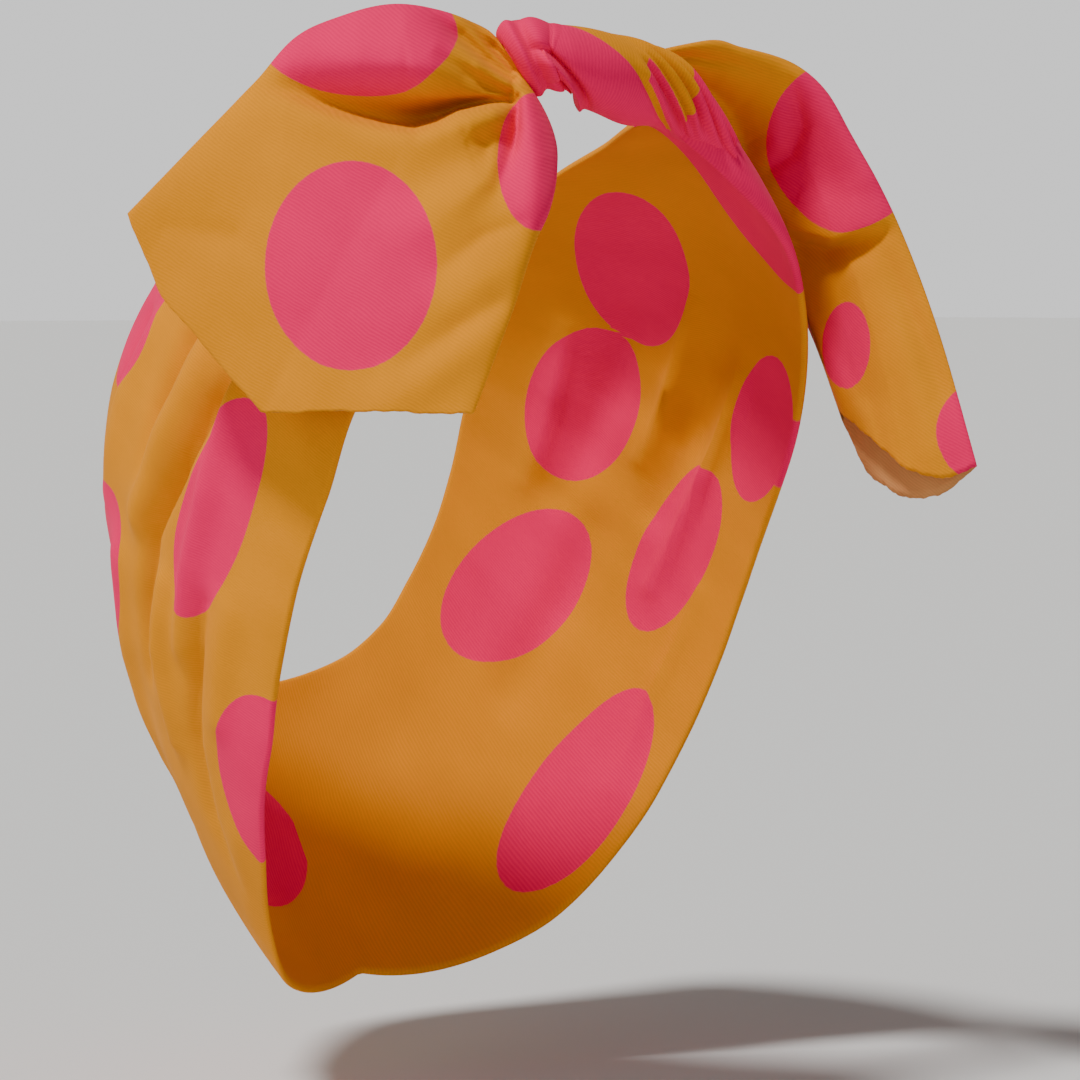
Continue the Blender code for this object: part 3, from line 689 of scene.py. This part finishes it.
LEFT_OUTER = (
    Edge(0.00, -9.0, 4.5, 2.0),
    Edge(0.05, -8.0, 8.2, -4.6),
    Edge(0.12, 4.5, 12.0, -13.0),
    Edge(0.25, 15.0, 11.2, -19.5),
    Edge(0.38, 28.0, 7.6, -27.0),
    Edge(0.47, 35.0, 2.0, -30.0),
    Edge(0.57, 41.0, -8.0, -31.0),
    Edge(0.76, 54.0, -33.0, -28.5),
    Edge(0.88, 62.0, -56.0, -23.5),
    Edge(1.00, 70.0, -86.0, -17.0),
)
LEFT_END = (
    Edge(0.00, 40.0, -74.0, -43.0),
    Edge(0.36, 47.5, -81.0, -31.0),
    Edge(0.62, 54.0, -87.0, -24.0),
    Edge(0.82, 62.0, -89.0, -20.0),
    Edge(1.00, 70.0, -86.0, -17.0),
)
LEFT_BELLY = (
    Belly(0.00, 2.8),
    Belly(0.05, 3.6),
    Belly(0.15, 4.4),
    Belly(0.40, 5.4),
    Belly(0.75, 5.0),
    Belly(1.00, 4.8),
)

# %% Creases of the tails, as seen from the photograph's side, in millimetres
RIGHT_CREASES = (
    # the pocket under the pink lobe, its darkest corner and the lip below it
    (Spot(-62, -2.2, 8, 3, 0.0), Spot(-50, -5.0, 9, 2.6, -3.6), Spot(-38, -9.0, 9, 2.3, -7.0),
     Spot(-30, -10.8, 9, 2.2, -10.0), Spot(-24, -11.6, 8, 2.2, -12.0),
     Spot(-19.5, -10.2, 6, 2.2, -12.4), Spot(-15, -7.6, 4.4, 2.2, -11.0),
     Spot(-10, -6.6, 3.4, 2.0, -8.6), Spot(-4, -6.6, 2.8, 1.8, -5.8)),
    (Spot(-28, -9.4, 3, 2, -0.8), Spot(-23, -9.6, 3.6, 2, -4.4), Spot(-18, -8.4, 3, 2, -4.4),
     Spot(-10, -7.2, 2, 1.6, -1.6)),
    (Spot(-56, -3.6, 2, 6, 0.4), Spot(-45, -9.6, 2, 7, 1.5), Spot(-36.5, -12.2, 2, 8, 2.2),
     Spot(-30.5, -13.8, 2, 8, 2.8), Spot(-25, -14.8, 2, 8, 3.2), Spot(-20, -13.2, 2, 7, 3.2),
     Spot(-15, -9.8, 2, 6, 2.8), Spot(-8, -9.4, 2, 4, 1.8)),
    # the lobe's full lower side
    (Spot(-58, 1, 5, 5, 0.6), Spot(-46, 2.4, 9, 6, 2.8), Spot(-36, 2.2, 10, 5.4, 4.6),
     Spot(-27, 1.8, 10, 5, 5.4), Spot(-20, 1.2, 8, 4.4, 4.4), Spot(-12, 0.2, 4, 3, 1.8)),
    # the hollow left of the strip that hangs from the knot, and the round front of that strip
    (Spot(-1.9, -5.5, 1.2, 1.4, -2.0), Spot(-2.1, -9, 1.3, 3.0, -5.5), Spot(-2.3, -13, 1.5, 4.2, -7.0),
     Spot(-3.0, -17, 1.8, 4.4, -6.0), Spot(-4.4, -21, 2.4, 4, -3.2), Spot(-6.5, -26, 4, 5, -1.0)),
    (Spot(0.5, -6, 2, 2, 0.8), Spot(1.6, -12, 2.6, 2.6, 1.8), Spot(2.2, -19, 3, 3, 2.2),
     Spot(1.6, -27, 3, 4, 1.6), Spot(0, -35, 4, 4, 0.5)),
    # grooves that run from the lobe into the knot, and a ridge between two of them
    (Spot(-20, 12.5, 4, 3.4, -1.6), Spot(-14.6, 7.6, 4.0, 2.4, -5.6), Spot(-8.6, 2.4, 3.2, 1.8, -6.4),
     Spot(-3.2, -1.6, 2.0, 1.2, -4.0)),
    (Spot(-12, 11.0, 3.0, 2.0, -1.6), Spot(-7.6, 5.8, 2.4, 1.5, -4.6), Spot(-3, 0.8, 1.6, 1.2, -3.2)),
    (Spot(-20, 4, 3.4, 2.6, 0.0), Spot(-13, -0.2, 3.0, 2.2, -3.0), Spot(-4, -4.4, 2.0, 1.4, -3.2)),
    (Spot(-15, 4.6, 2, 2, 0.4), Spot(-10, 0.9, 1.8, 1.8, 1.4), Spot(-4.5, -2.6, 1.4, 1.4, 1.0)),
    # a soft bump under the pocket's inner end, and the dip below it
    (Spot(-17, -12.4, 4, 4, 0.8), Spot(-12, -12.4, 3.4, 4, 2.4), Spot(-7.4, -10.6, 2.4, 3, 1.6)),
    (Spot(-12, -14, 4, 4, -0.6), Spot(-8.6, -17, 3.4, 3.4, -1.8), Spot(-9, -22, 3, 4, -0.8)),
    # shallow waves that start at the hanging strip
    (Spot(-5, -18.5, 2.4, 3, 0.8), Spot(-9, -24, 3, 4, 2.0), Spot(-19.5, -32, 5, 5, 1.6),
     Spot(-27, -36, 5, 6, 0.6)),
    (Spot(-1, -33, 3, 3, -0.6), Spot(-9, -36, 3, 4, -1.4), Spot(-18, -43, 4, 5, -0.8)),
    (Spot(0, -40, 4, 4, 0.6), Spot(-10, -45, 4, 5, 1.2), Spot(-20, -53, 5, 6, 0.6)),
    # the broad swell behind the large dot
    (Spot(-37, -42, 21, 21, 3.4), Spot(-38, -40, 21, 21, 3.4)),
    # two waves near the cut edge
    (Spot(-9, -56, 5, 5, 1.0), Spot(-18, -63, 5, 5, 1.6), Spot(-29, -70, 5, 6, 1.2)),
    (Spot(-6, -50, 4, 4, -0.8), Spot(-14, -55, 5, 5, -1.5), Spot(-24, -62, 5, 5, -0.8)),
    # two faint waves below the lobe's outer end
    (Spot(-66, -22, 6, 6, 0.6), Spot(-52, -22, 7, 7, 1.2), Spot(-40, -24, 6, 6, 0.4)),
    (Spot(-76, -34, 5, 5, -0.4), Spot(-62, -36, 6, 6, -1.2), Spot(-52, -44, 6, 6, -0.4)),
)
LEFT_CREASES = (
    # the deep hollow beside the loop's strand
    (Spot(8, 1, 5, 4, -2.4), Spot(13, -4, 7, 5, -7.0), Spot(16.4, -10.5, 7, 6, -9.5),
     Spot(17, -17, 7, 6, -7.5), Spot(16, -23, 6, 5, -3.4)),
    # the fold across under the large dot, and its upper lip
    (Spot(20, -27.5, 3, 3, -0.8), Spot(24.5, -29, 2, 5, -3.0), Spot(30.4, -33, 2, 6, -4.8),
     Spot(36.5, -34.6, 2, 6, -4.8), Spot(43, -33.2, 2, 5, -3.0), Spot(49, -31, 3, 4, -1.0)),
    (Spot(21, -20, 4, 3, 0.8), Spot(27, -26, 6, 3, 2.2), Spot(36, -29.6, 7, 3, 2.8),
     Spot(46, -28.4, 6, 3, 1.6)),
    # the full side of the dot, the curved dent inside it and the ridge left of that dent
    (Spot(30, 4, 6, 6, 1.4), Spot(38, -5, 6, 6, 2.4), Spot(45, -17, 6, 6, 2.2)),
    (Spot(27, 3, 2, 3, -0.6), Spot(28.6, -1.4, 2.6, 4, -2.2), Spot(29.8, -6.4, 2.6, 4, -3.0),
     Spot(27.6, -12.4, 3, 4, -2.8), Spot(22.5, -16, 3, 4, -1.6)),
    (Spot(24.4, -4, 3, 3, 1.0), Spot(23.6, -10, 3, 3, 1.2)),
    # gathers where the tail comes out of the knot
    (Spot(-6, 7, 1.2, 1.2, -1.6), Spot(2, 8.4, 1.8, 1.8, -2.2), Spot(12, 7.6, 2.8, 2.8, -1.2),
     Spot(20, 5, 3, 3, -0.2)),
    (Spot(-6, 5, 1.2, 1.2, -1.6), Spot(3, 4.2, 1.8, 1.8, -2.4), Spot(11, -1, 2.6, 2.6, -1.2)),
    (Spot(-5, 3.6, 1.0, 1.0, 0.6), Spot(4, 1.4, 1.4, 1.4, 0.9), Spot(10, -4, 2, 2, 0.4)),
    # long waves that run down to the mouth
    (Spot(44, -42, 6, 6, 1.2), Spot(52, -62, 6, 6, 1.8), Spot(59, -82, 5, 5, 1.0)),
    (Spot(30, -40, 5, 5, -1.0), Spot(37, -54, 5, 5, -2.2), Spot(44, -70, 5, 5, -1.2)),
    (Spot(50, -38, 4, 4, -0.6), Spot(56, -52, 4, 4, -1.4), Spot(62, -68, 4, 4, -0.8)),
)

# %% Where the front layer sags over a fold below it, in the same millimetres
RIGHT_HANGS = (
    (Spot(-44, -2, 5, 5, -0.4), Spot(-34, -3.5, 5, 5, -1.0), Spot(-25, -4, 5, 4.5, -1.6),
     Spot(-17, -3.6, 4, 3.5, -2.2), Spot(-9, -3.4, 3, 2.6, -1.4), Spot(-4, -4, 2, 2, -0.4)),
)
LEFT_HANGS = (
    (Spot(21, -21, 4, 4, -1.0), Spot(28, -27, 5, 4, -3.0), Spot(37, -29, 5, 4, -3.6),
     Spot(45, -27.5, 5, 4, -2.0), Spot(51, -26, 4, 4, -0.6)),
)

# %% Dots of the tails, in the same millimetres
RIGHT_FRONT_DOTS = (Dot(-36.5, 8.0, 21.5, 13.2), Dot(-37, -42, 18.3, 22), Dot(2.2, -19.6, 8.4, 15.2))
RIGHT_BACK_DOTS = (
    Dot(-36.5, 8.0, 21.5, 13.2),
    Dot(-60, -34, 17, 18),
    Dot(-22, -48, 18, 19),
    Dot(2.2, -19.6, 8.4, 15.2),
)
LEFT_FRONT_DOTS = (Dot(42, -9.5, 20.5, 19), Dot(41, -58, 5, 10.3), Dot(73, -78, 12.5, 12))
LEFT_BACK_DOTS = (Dot(42, -9.5, 14, 15), Dot(30, -38, 8, 12), Dot(58, -62, 9, 14))

# %% Shape of a tail: its wall and least room in millimetres, and shares of its folds, width and length
TAIL_WALL = 0.9
LEAST_ROOM = 1.2
FRONT_ALONE = 0.65
EDGE_CLOSE = 0.02
HOLLOW_RUN = 0.12
LEAST_HALF = 0.12
RAW_EDGE = 0.16
EDGE_CURL = 0.30
DROP_FROM = 0.3


def tail_middle(tail, s, w):
    # between the two edges, and bent so that the last row lies on the cut edge's own curve
    point = []
    for column in ("across", "up", "out"):
        first = curve(tail["first"], "at", column, s, True)
        second = curve(tail["second"], "at", column, s, True)
        end_a, end_b = getattr(tail["first"][-1], column), getattr(tail["second"][-1], column)
        end = np.interp(w, [r.at for r in tail["end"]], [getattr(r, column) for r in tail["end"]])
        point.append(first * (1 - w) + second * w + s * s * (end - end_a * (1 - w) - end_b * w))
    return np.column_stack(point)


def tail_local(tail, s, w, side, inner):
    first_edge, second_edge = (tail_middle(tail, s, np.full(len(s), edge)) for edge in (0.0, 1.0))
    width = np.linalg.norm(second_edge - first_edge, axis=1)
    squeeze = 1 - 2 * TAIL_WALL / width if inner else 1.0
    w_in = 0.5 + (w - 0.5) * squeeze
    here = tail_middle(tail, s, w_in)
    power = tail["round"](s)
    round_edge = np.sqrt(np.maximum(0, 1 - np.abs(2 * w_in - 1) ** power))
    half = curve(tail["belly"], "at", "half", s) * tail["lean"](s, w_in) * round_edge
    fold = creases(tail["creases"], here[:, 0], here[:, 1])
    # the back layer follows only part of each fold, but a deep groove pushes it back with the front one
    room = np.maximum(2 * half - LEAST_ROOM, 0) / np.maximum(-fold, 0.01)
    back_share = np.maximum(1 - FRONT_ALONE * (1 - s * s) * round_edge, 1 - room)
    share = np.where(side > 0, 1.0, back_share)
    if inner:
        # the inside closes to one line at both edges and at the bottom of the mouth
        at_edge = np.clip(np.minimum(w, 1 - w) / EDGE_CLOSE, 0, 1)
        hollow = np.clip((s - tail["hollow"]) / HOLLOW_RUN, 0, 1)
        half = np.maximum(half - TAIL_WALL, LEAST_HALF * half) * at_edge * hollow
        share = share * hollow + (1 + back_share) / 2 * (1 - hollow)
    flat = here.copy()
    here[:, 1] += creases(tail["hangs"], flat[:, 0], flat[:, 1]) * round_edge * (side > 0)
    here[:, 2] += fold * share + side * half
    # a cut edge of jersey isn't straight: it wanders in its own plane and curls a little
    wander = np.sin(37 * w + 3 * side) + 0.6 * np.sin(83 * w + 1 + side) + 0.4 * np.sin(151 * w)
    here[:, 1] += RAW_EDGE * wander * s**12
    here[:, 2] += EDGE_CURL * np.sin(23 * w + 2 * side) * s**8 * round_edge
    # the back layer hangs lower where the mouth is open
    drop = tail["drop"] * s**3 * (1 - w_in**3) * np.minimum(1, w_in / DROP_FROM)
    here[:, 1] -= np.where(side < 0, drop, 0)
    return here, flat


def to_frame(tail, local):
    return np.array(tail["origin"]) + np.column_stack(
        [
            local[:, 0] * math.cos(TAIL_TURN) + local[:, 2] * math.sin(TAIL_TURN),
            local[:, 0] * math.sin(TAIL_TURN) - local[:, 2] * math.cos(TAIL_TURN),
            local[:, 1],
        ]
    )


# %% The grid of a tail: down the outside, round the cut edge and up the inside
TAIL_STEPS = 214
TAIL_AROUND = 280
CUT_START, CUT_END = 0.70, 0.72
EVEN_SPACING = 0.15
RIB_TURN = math.radians(31.0)


def make_tail(name, tail, node):
    bm, x, y = cloth_grid(TAIL_STEPS, TAIL_AROUND)
    s = np.where(x <= CUT_START, x / CUT_START, 1.0)
    inside = np.clip((x - CUT_END) / (1 - CUT_END), 0, 1)
    s = np.where(x > CUT_END, 1 - (1 - tail["hollow"]) * inside, s)
    half_way = np.where(y <= 0.5, y * 2, 2 - y * 2)
    # points lie closer together at both edges, where one layer turns into the other
    w = EVEN_SPACING * half_way + (1 - EVEN_SPACING) * (0.5 - 0.5 * np.cos(np.pi * half_way))
    side = np.where(y <= 0.5, 1.0, -1.0)
    outer_local, flat = tail_local(tail, s, w, side, False)
    inner_local, _ = tail_local(tail, s, w, side, True)
    outer, inner = to_frame(tail, outer_local), to_frame(tail, inner_local)
    cut = np.clip((x - CUT_START) / (CUT_END - CUT_START), 0, 1)[:, None]
    places = outer * (1 - cut) + inner * cut
    front = inside_dots(tail["front_dots"], flat[:, 0], flat[:, 1])
    back = inside_dots(tail["back_dots"], flat[:, 0], flat[:, 1])
    # millimetres along a level line of the tail and down it, turned as the ribs run in the photograph
    turn = tail["cloth_turn"]
    level = outer_local[:, 0] * math.cos(turn) + outer_local[:, 2] * math.sin(turn)
    down = -outer_local[:, 1]
    along_ribs = level * math.cos(RIB_TURN) + down * math.sin(RIB_TURN)
    over_ribs = down * math.cos(RIB_TURN) - level * math.sin(RIB_TURN)
    cloth = np.column_stack([along_ribs, over_ribs])
    reverse = np.clip(cut[:, 0] * 1.2, 0, 1)
    return sew(name, bm, places, cloth, np.where(side > 0, front, back), reverse, node)


# %% Make both tails
# In each table "round" says how square the section is, "lean" how much thinner one edge is,
# "drop" how far the back layer hangs below the front one, and "hollow" where the inside ends.
right_sleeve = make_tail(
    "right_sleeve",
    {
        "origin": (-22.0, 0.0, 10.0),
        "first": RIGHT_TOP,
        "second": RIGHT_EDGE,
        "end": RIGHT_END,
        "creases": RIGHT_CREASES,
        "hangs": RIGHT_HANGS,
        "belly": RIGHT_BELLY,
        "front_dots": RIGHT_FRONT_DOTS,
        "back_dots": RIGHT_BACK_DOTS,
        "round": lambda s: 2 + 6 * np.minimum(1, s / 0.4),
        "lean": lambda s, w: 1.0,
        "drop": 0.0,
        "hollow": 0.52,
        "cloth_turn": math.radians(15),
    },
    "right_tail",
)
left_sleeve = make_tail(
    "left_sleeve",
    {
        "origin": (22.0, 0.0, 8.0),
        "first": LEFT_INNER,
        "second": LEFT_OUTER,
        "end": LEFT_END,
        "creases": LEFT_CREASES,
        "hangs": LEFT_HANGS,
        "belly": LEFT_BELLY,
        "front_dots": LEFT_FRONT_DOTS,
        "back_dots": LEFT_BACK_DOTS,
        "round": lambda s: 2 + 3 * np.minimum(1, s / 0.4),
        "lean": lambda s, w: 1.0 - 0.55 * s * w,
        "drop": 9.0,
        "hollow": 0.45,
        "cloth_turn": math.radians(41),
    },
    "left_tail",
)

# %% [markdown]
# ## The cloth itself
#
# It is cotton jersey, knitted and then printed: matt and soft,
# with a faint bloom of fibre at grazing angles.
# Fine ribs 0.68 mm apart run across the tube and show as thin lines in the light, with painted shade in
# the colour between them.
# The print doesn't go right through, so the reverse is the same pattern seen pale and brownish.
# One material serves all five pieces, because they are one cloth.

# %% Colours and a helper for nodes
def to_linear(code):
    parts = [int(code[i : i + 2], 16) / 255 for i in (1, 3, 5)]
    return tuple(c / 12.92 if c <= 0.04045 else ((c + 0.055) / 1.055) ** 2.4 for c in parts) + (1.0,)


def add_node(tree, kind, settings=(), links=()):
    node = tree.nodes.new(kind)
    for name, value in dict(settings).items():
        if name.startswith("in "):
            key = name[3:]
            node.inputs[int(key) if key.isdigit() else key].default_value = value
        else:
            setattr(node, name, value)
    for socket, source in dict(links).items():
        tree.links.new(source, node.inputs[int(socket) if str(socket).isdigit() else socket])
    return node


# %% Printed cotton jersey: matt knit in mustard and pink, ribs 0.68 mm apart, pale on its reverse
MUSTARD = "#e08c02"
PINK = "#f40a5e"
REVERSE = "#c58d62"
REVERSE_PALE = 0.72
RIB_MM = 0.68
RIB_DRIFT_MM = 2.2
RIB_DEPTH_M = 0.00014
INK_EDGE_MM = 0.12


def printed_cotton_jersey():
    material = bpy.data.materials.new("printed_cotton_jersey")
    material.use_nodes = True
    tree = material.node_tree
    shader = tree.nodes["Principled BSDF"]
    shader.inputs["Roughness"].default_value = 0.86
    shader.inputs["IOR"].default_value = 1.45
    shader.inputs["Specular IOR Level"].default_value = 0.12
    shader.inputs["Sheen Weight"].default_value = 0.04
    shader.inputs["Sheen Roughness"].default_value = 0.45
    shader.inputs["Sheen Tint"].default_value = to_linear("#ffe2c4")
    uv = add_node(tree, "ShaderNodeUVMap", {"uv_map": "flat_cloth"})
    mm = add_node(
        tree,
        "ShaderNodeVectorMath",
        {"operation": "SCALE", "in Scale": UV_SPAN},
        {0: uv.outputs[0]},
    )
    drift = add_node(
        tree, "ShaderNodeTexNoise", {"in Scale": 0.09, "in Detail": 2.0}, {"Vector": mm.outputs[0]}
    )
    drift_off = add_node(
        tree,
        "ShaderNodeVectorMath",
        {"operation": "SCALE", "in Scale": RIB_DRIFT_MM},
        {0: drift.outputs["Color"]},
    )
    ribs_at = add_node(
        tree, "ShaderNodeVectorMath", {"operation": "ADD"}, {0: mm.outputs[0], 1: drift_off.outputs[0]}
    )
    rib_scale = 2 * math.pi / (20 * RIB_MM)
    ribs = add_node(
        tree,
        "ShaderNodeTexWave",
        {"wave_type": "BANDS", "bands_direction": "Y", "in Scale": rib_scale, "in Distortion": 0.0},
        {"Vector": ribs_at.outputs[0]},
    )
    stitch_size = add_node(
        tree, "ShaderNodeMapping", {"in Scale": (1.1, 2.2, 1.0)}, {"Vector": mm.outputs[0]}
    )
    stitches = add_node(
        tree,
        "ShaderNodeTexNoise",
        {"in Scale": 1.0, "in Detail": 3.0},
        {"Vector": stitch_size.outputs[0]},
    )
    height = add_node(
        tree,
        "ShaderNodeMix",
        {"data_type": "FLOAT", "in 0": 0.45},
        {2: ribs.outputs["Fac"], 3: stitches.outputs["Fac"]},
    )
    bump = add_node(
        tree,
        "ShaderNodeBump",
        {"in Strength": 0.3, "in Distance": RIB_DEPTH_M},
        {"Height": height.outputs[0]},
    )
    tree.links.new(bump.outputs[0], shader.inputs["Normal"])

    # the dot's edge, softened over a quarter of a millimetre and a little ragged, as ink on a knit is
    dot = add_node(tree, "ShaderNodeAttribute", {"attribute_name": "dot"})
    ragged = add_node(
        tree, "ShaderNodeTexNoise", {"in Scale": 0.9, "in Detail": 1.0}, {"Vector": mm.outputs[0]}
    )
    edge = add_node(
        tree,
        "ShaderNodeMath",
        {"operation": "MULTIPLY_ADD", "in 1": 2 * INK_EDGE_MM, "in 2": -INK_EDGE_MM},
        {0: ragged.outputs["Fac"]},
    )
    moved = add_node(
        tree, "ShaderNodeMath", {"operation": "ADD"}, {0: dot.outputs["Fac"], 1: edge.outputs[0]}
    )
    printed = add_node(
        tree,
        "ShaderNodeMapRange",
        {"in 1": -INK_EDGE_MM, "in 2": INK_EDGE_MM, "in 3": 0.0, "in 4": 1.0},
        {0: moved.outputs[0]},
    )
    colour = add_node(
        tree,
        "ShaderNodeMix",
        {"data_type": "RGBA", "in 6": to_linear(MUSTARD), "in 7": to_linear(PINK)},
        {0: printed.outputs[0]},
    )
    reverse = add_node(tree, "ShaderNodeAttribute", {"attribute_name": "reverse"})
    pale = add_node(
        tree,
        "ShaderNodeMath",
        {"operation": "MULTIPLY", "in 1": REVERSE_PALE},
        {0: reverse.outputs["Fac"]},
    )
    faded = add_node(
        tree,
        "ShaderNodeMix",
        {"data_type": "RGBA", "in 7": to_linear(REVERSE)},
        {0: pale.outputs[0], 6: colour.outputs[2]},
    )

    # wide cloudy tone from dyeing, and painted shade in the low lines between the ribs
    cloud = add_node(
        tree, "ShaderNodeTexNoise", {"in Scale": 0.05, "in Detail": 3.0}, {"Vector": mm.outputs[0]}
    )
    mottle = add_node(
        tree,
        "ShaderNodeMapRange",
        {"in 1": 0.3, "in 2": 0.7, "in 3": 0.93, "in 4": 1.04},
        {0: cloud.outputs["Fac"]},
    )
    # painted shade: the colour darkens where the rib and stitch bump is low, as if shade lay in its
    # grooves
    line_shade = add_node(
        tree,
        "ShaderNodeMapRange",
        {"in 1": 0.2, "in 2": 0.8, "in 3": 0.92, "in 4": 1.03},
        {0: height.outputs[0]},
    )
    dye_tone_and_rib_shade = add_node(
        tree,
        "ShaderNodeMath",
        {"operation": "MULTIPLY"},
        {0: mottle.outputs[0], 1: line_shade.outputs[0]},
    )
    grey = add_node(tree, "ShaderNodeCombineColor", (), dict.fromkeys(range(3), dye_tone_and_rib_shade.outputs[0]))
    final = add_node(
        tree,
        "ShaderNodeMix",
        {"data_type": "RGBA", "blend_type": "MULTIPLY", "in 0": 1.0},
        {6: faded.outputs[2], 7: grey.outputs[0]},
    )
    tree.links.new(final.outputs[2], shader.inputs["Base Color"])
    return material


jersey = printed_cotton_jersey()
for piece in (wrap_band, knot_roll, narrow_wrap, right_sleeve, left_sleeve):
    piece.data.materials.append(jersey)

# %% [markdown]
# ## How the cloth lies
#
# The loop is stretched round the head. Each tail hangs as a pressed sleeve from the knot.
# The loop and the narrow wrap are pressed together, and each tail is open.

# %% [markdown]
# ## Floor, light and camera
#
# A pale floor, a pale sky and two broad distant lights stand for a small studio.
# The sky is brightest just above the floor, so the floor seems to run on into it.
# The main light is high on the viewer's left, so the folds cast soft shadows down to the right.
# A weaker one from the left front opens those shadows a little.

# %% Floor
FLOOR_HALF = 30.0
FLOOR_HEIGHT = -0.232
floor_mesh = bpy.data.meshes.new("floor")
bm = bmesh.new()
bmesh.ops.create_grid(bm, x_segments=1, y_segments=1, size=FLOOR_HALF)
for v in bm.verts:
    v.co.z = FLOOR_HEIGHT
bm.to_mesh(floor_mesh)
bm.free()
floor = bpy.data.objects.new("floor", floor_mesh)
bpy.context.scene.collection.objects.link(floor)
paint = bpy.data.materials.new("pale_matt_paint")
paint.use_nodes = True
paint_shader = paint.node_tree.nodes["Principled BSDF"]
paint_shader.inputs["Base Color"].default_value = to_linear("#e2e1de")
paint_shader.inputs["Roughness"].default_value = 0.9
floor_mesh.materials.append(paint)

# %% World and lights
world = bpy.data.worlds.new("studio")
bpy.context.scene.world = world
world.use_nodes = True
sky = world.node_tree
direction = add_node(sky, "ShaderNodeTexCoord")
parts = add_node(sky, "ShaderNodeSeparateXYZ", (), {0: direction.outputs["Generated"]})
fall = add_node(
    sky,
    "ShaderNodeMapRange",
    {"interpolation_type": "SMOOTHSTEP", "in 1": 0.09, "in 2": 0.38, "in 3": 0.95, "in 4": 0.13},
    {0: parts.outputs["Z"]},
)
sky.links.new(fall.outputs[0], sky.nodes["Background"].inputs["Strength"])
sky.nodes["Background"].inputs["Color"].default_value = to_linear("#ffffff")

# The eye of the photograph, its level direction to the right and its direction of view.
EYE = Vector((-0.4806, -0.5915, -0.0397))
RIGHT = Vector((0.788, -0.6157, 0.0))
AWAY = Vector((0.6142, 0.7861, -0.0698))


def far_light(name, across, up, towards, spread, power):
    data = bpy.data.lights.new(name, "SUN")
    data.angle = math.radians(spread)
    data.energy = power
    light = bpy.data.objects.new(name, data)
    towards_light = RIGHT * across + Vector((0, 0, up)) - AWAY * towards
    light.location = towards_light
    light.rotation_euler = towards_light.to_track_quat("Z", "Y").to_euler()
    bpy.context.scene.collection.objects.link(light)


far_light("main_light", across=-0.40, up=1.0, towards=0.40, spread=9, power=3.3)
far_light("front_light", across=-0.95, up=0.35, towards=0.70, spread=40, power=0.45)

# %% Camera at the photograph's place
camera_data = bpy.data.cameras.new("camera")
camera_data.lens = 113.5
camera_data.sensor_width = 36
camera = bpy.data.objects.new("camera", camera_data)
camera.location = EYE
camera.rotation_euler = (math.radians(86), 0, math.radians(-38))
bpy.context.scene.collection.objects.link(camera)
bpy.context.scene.camera = camera
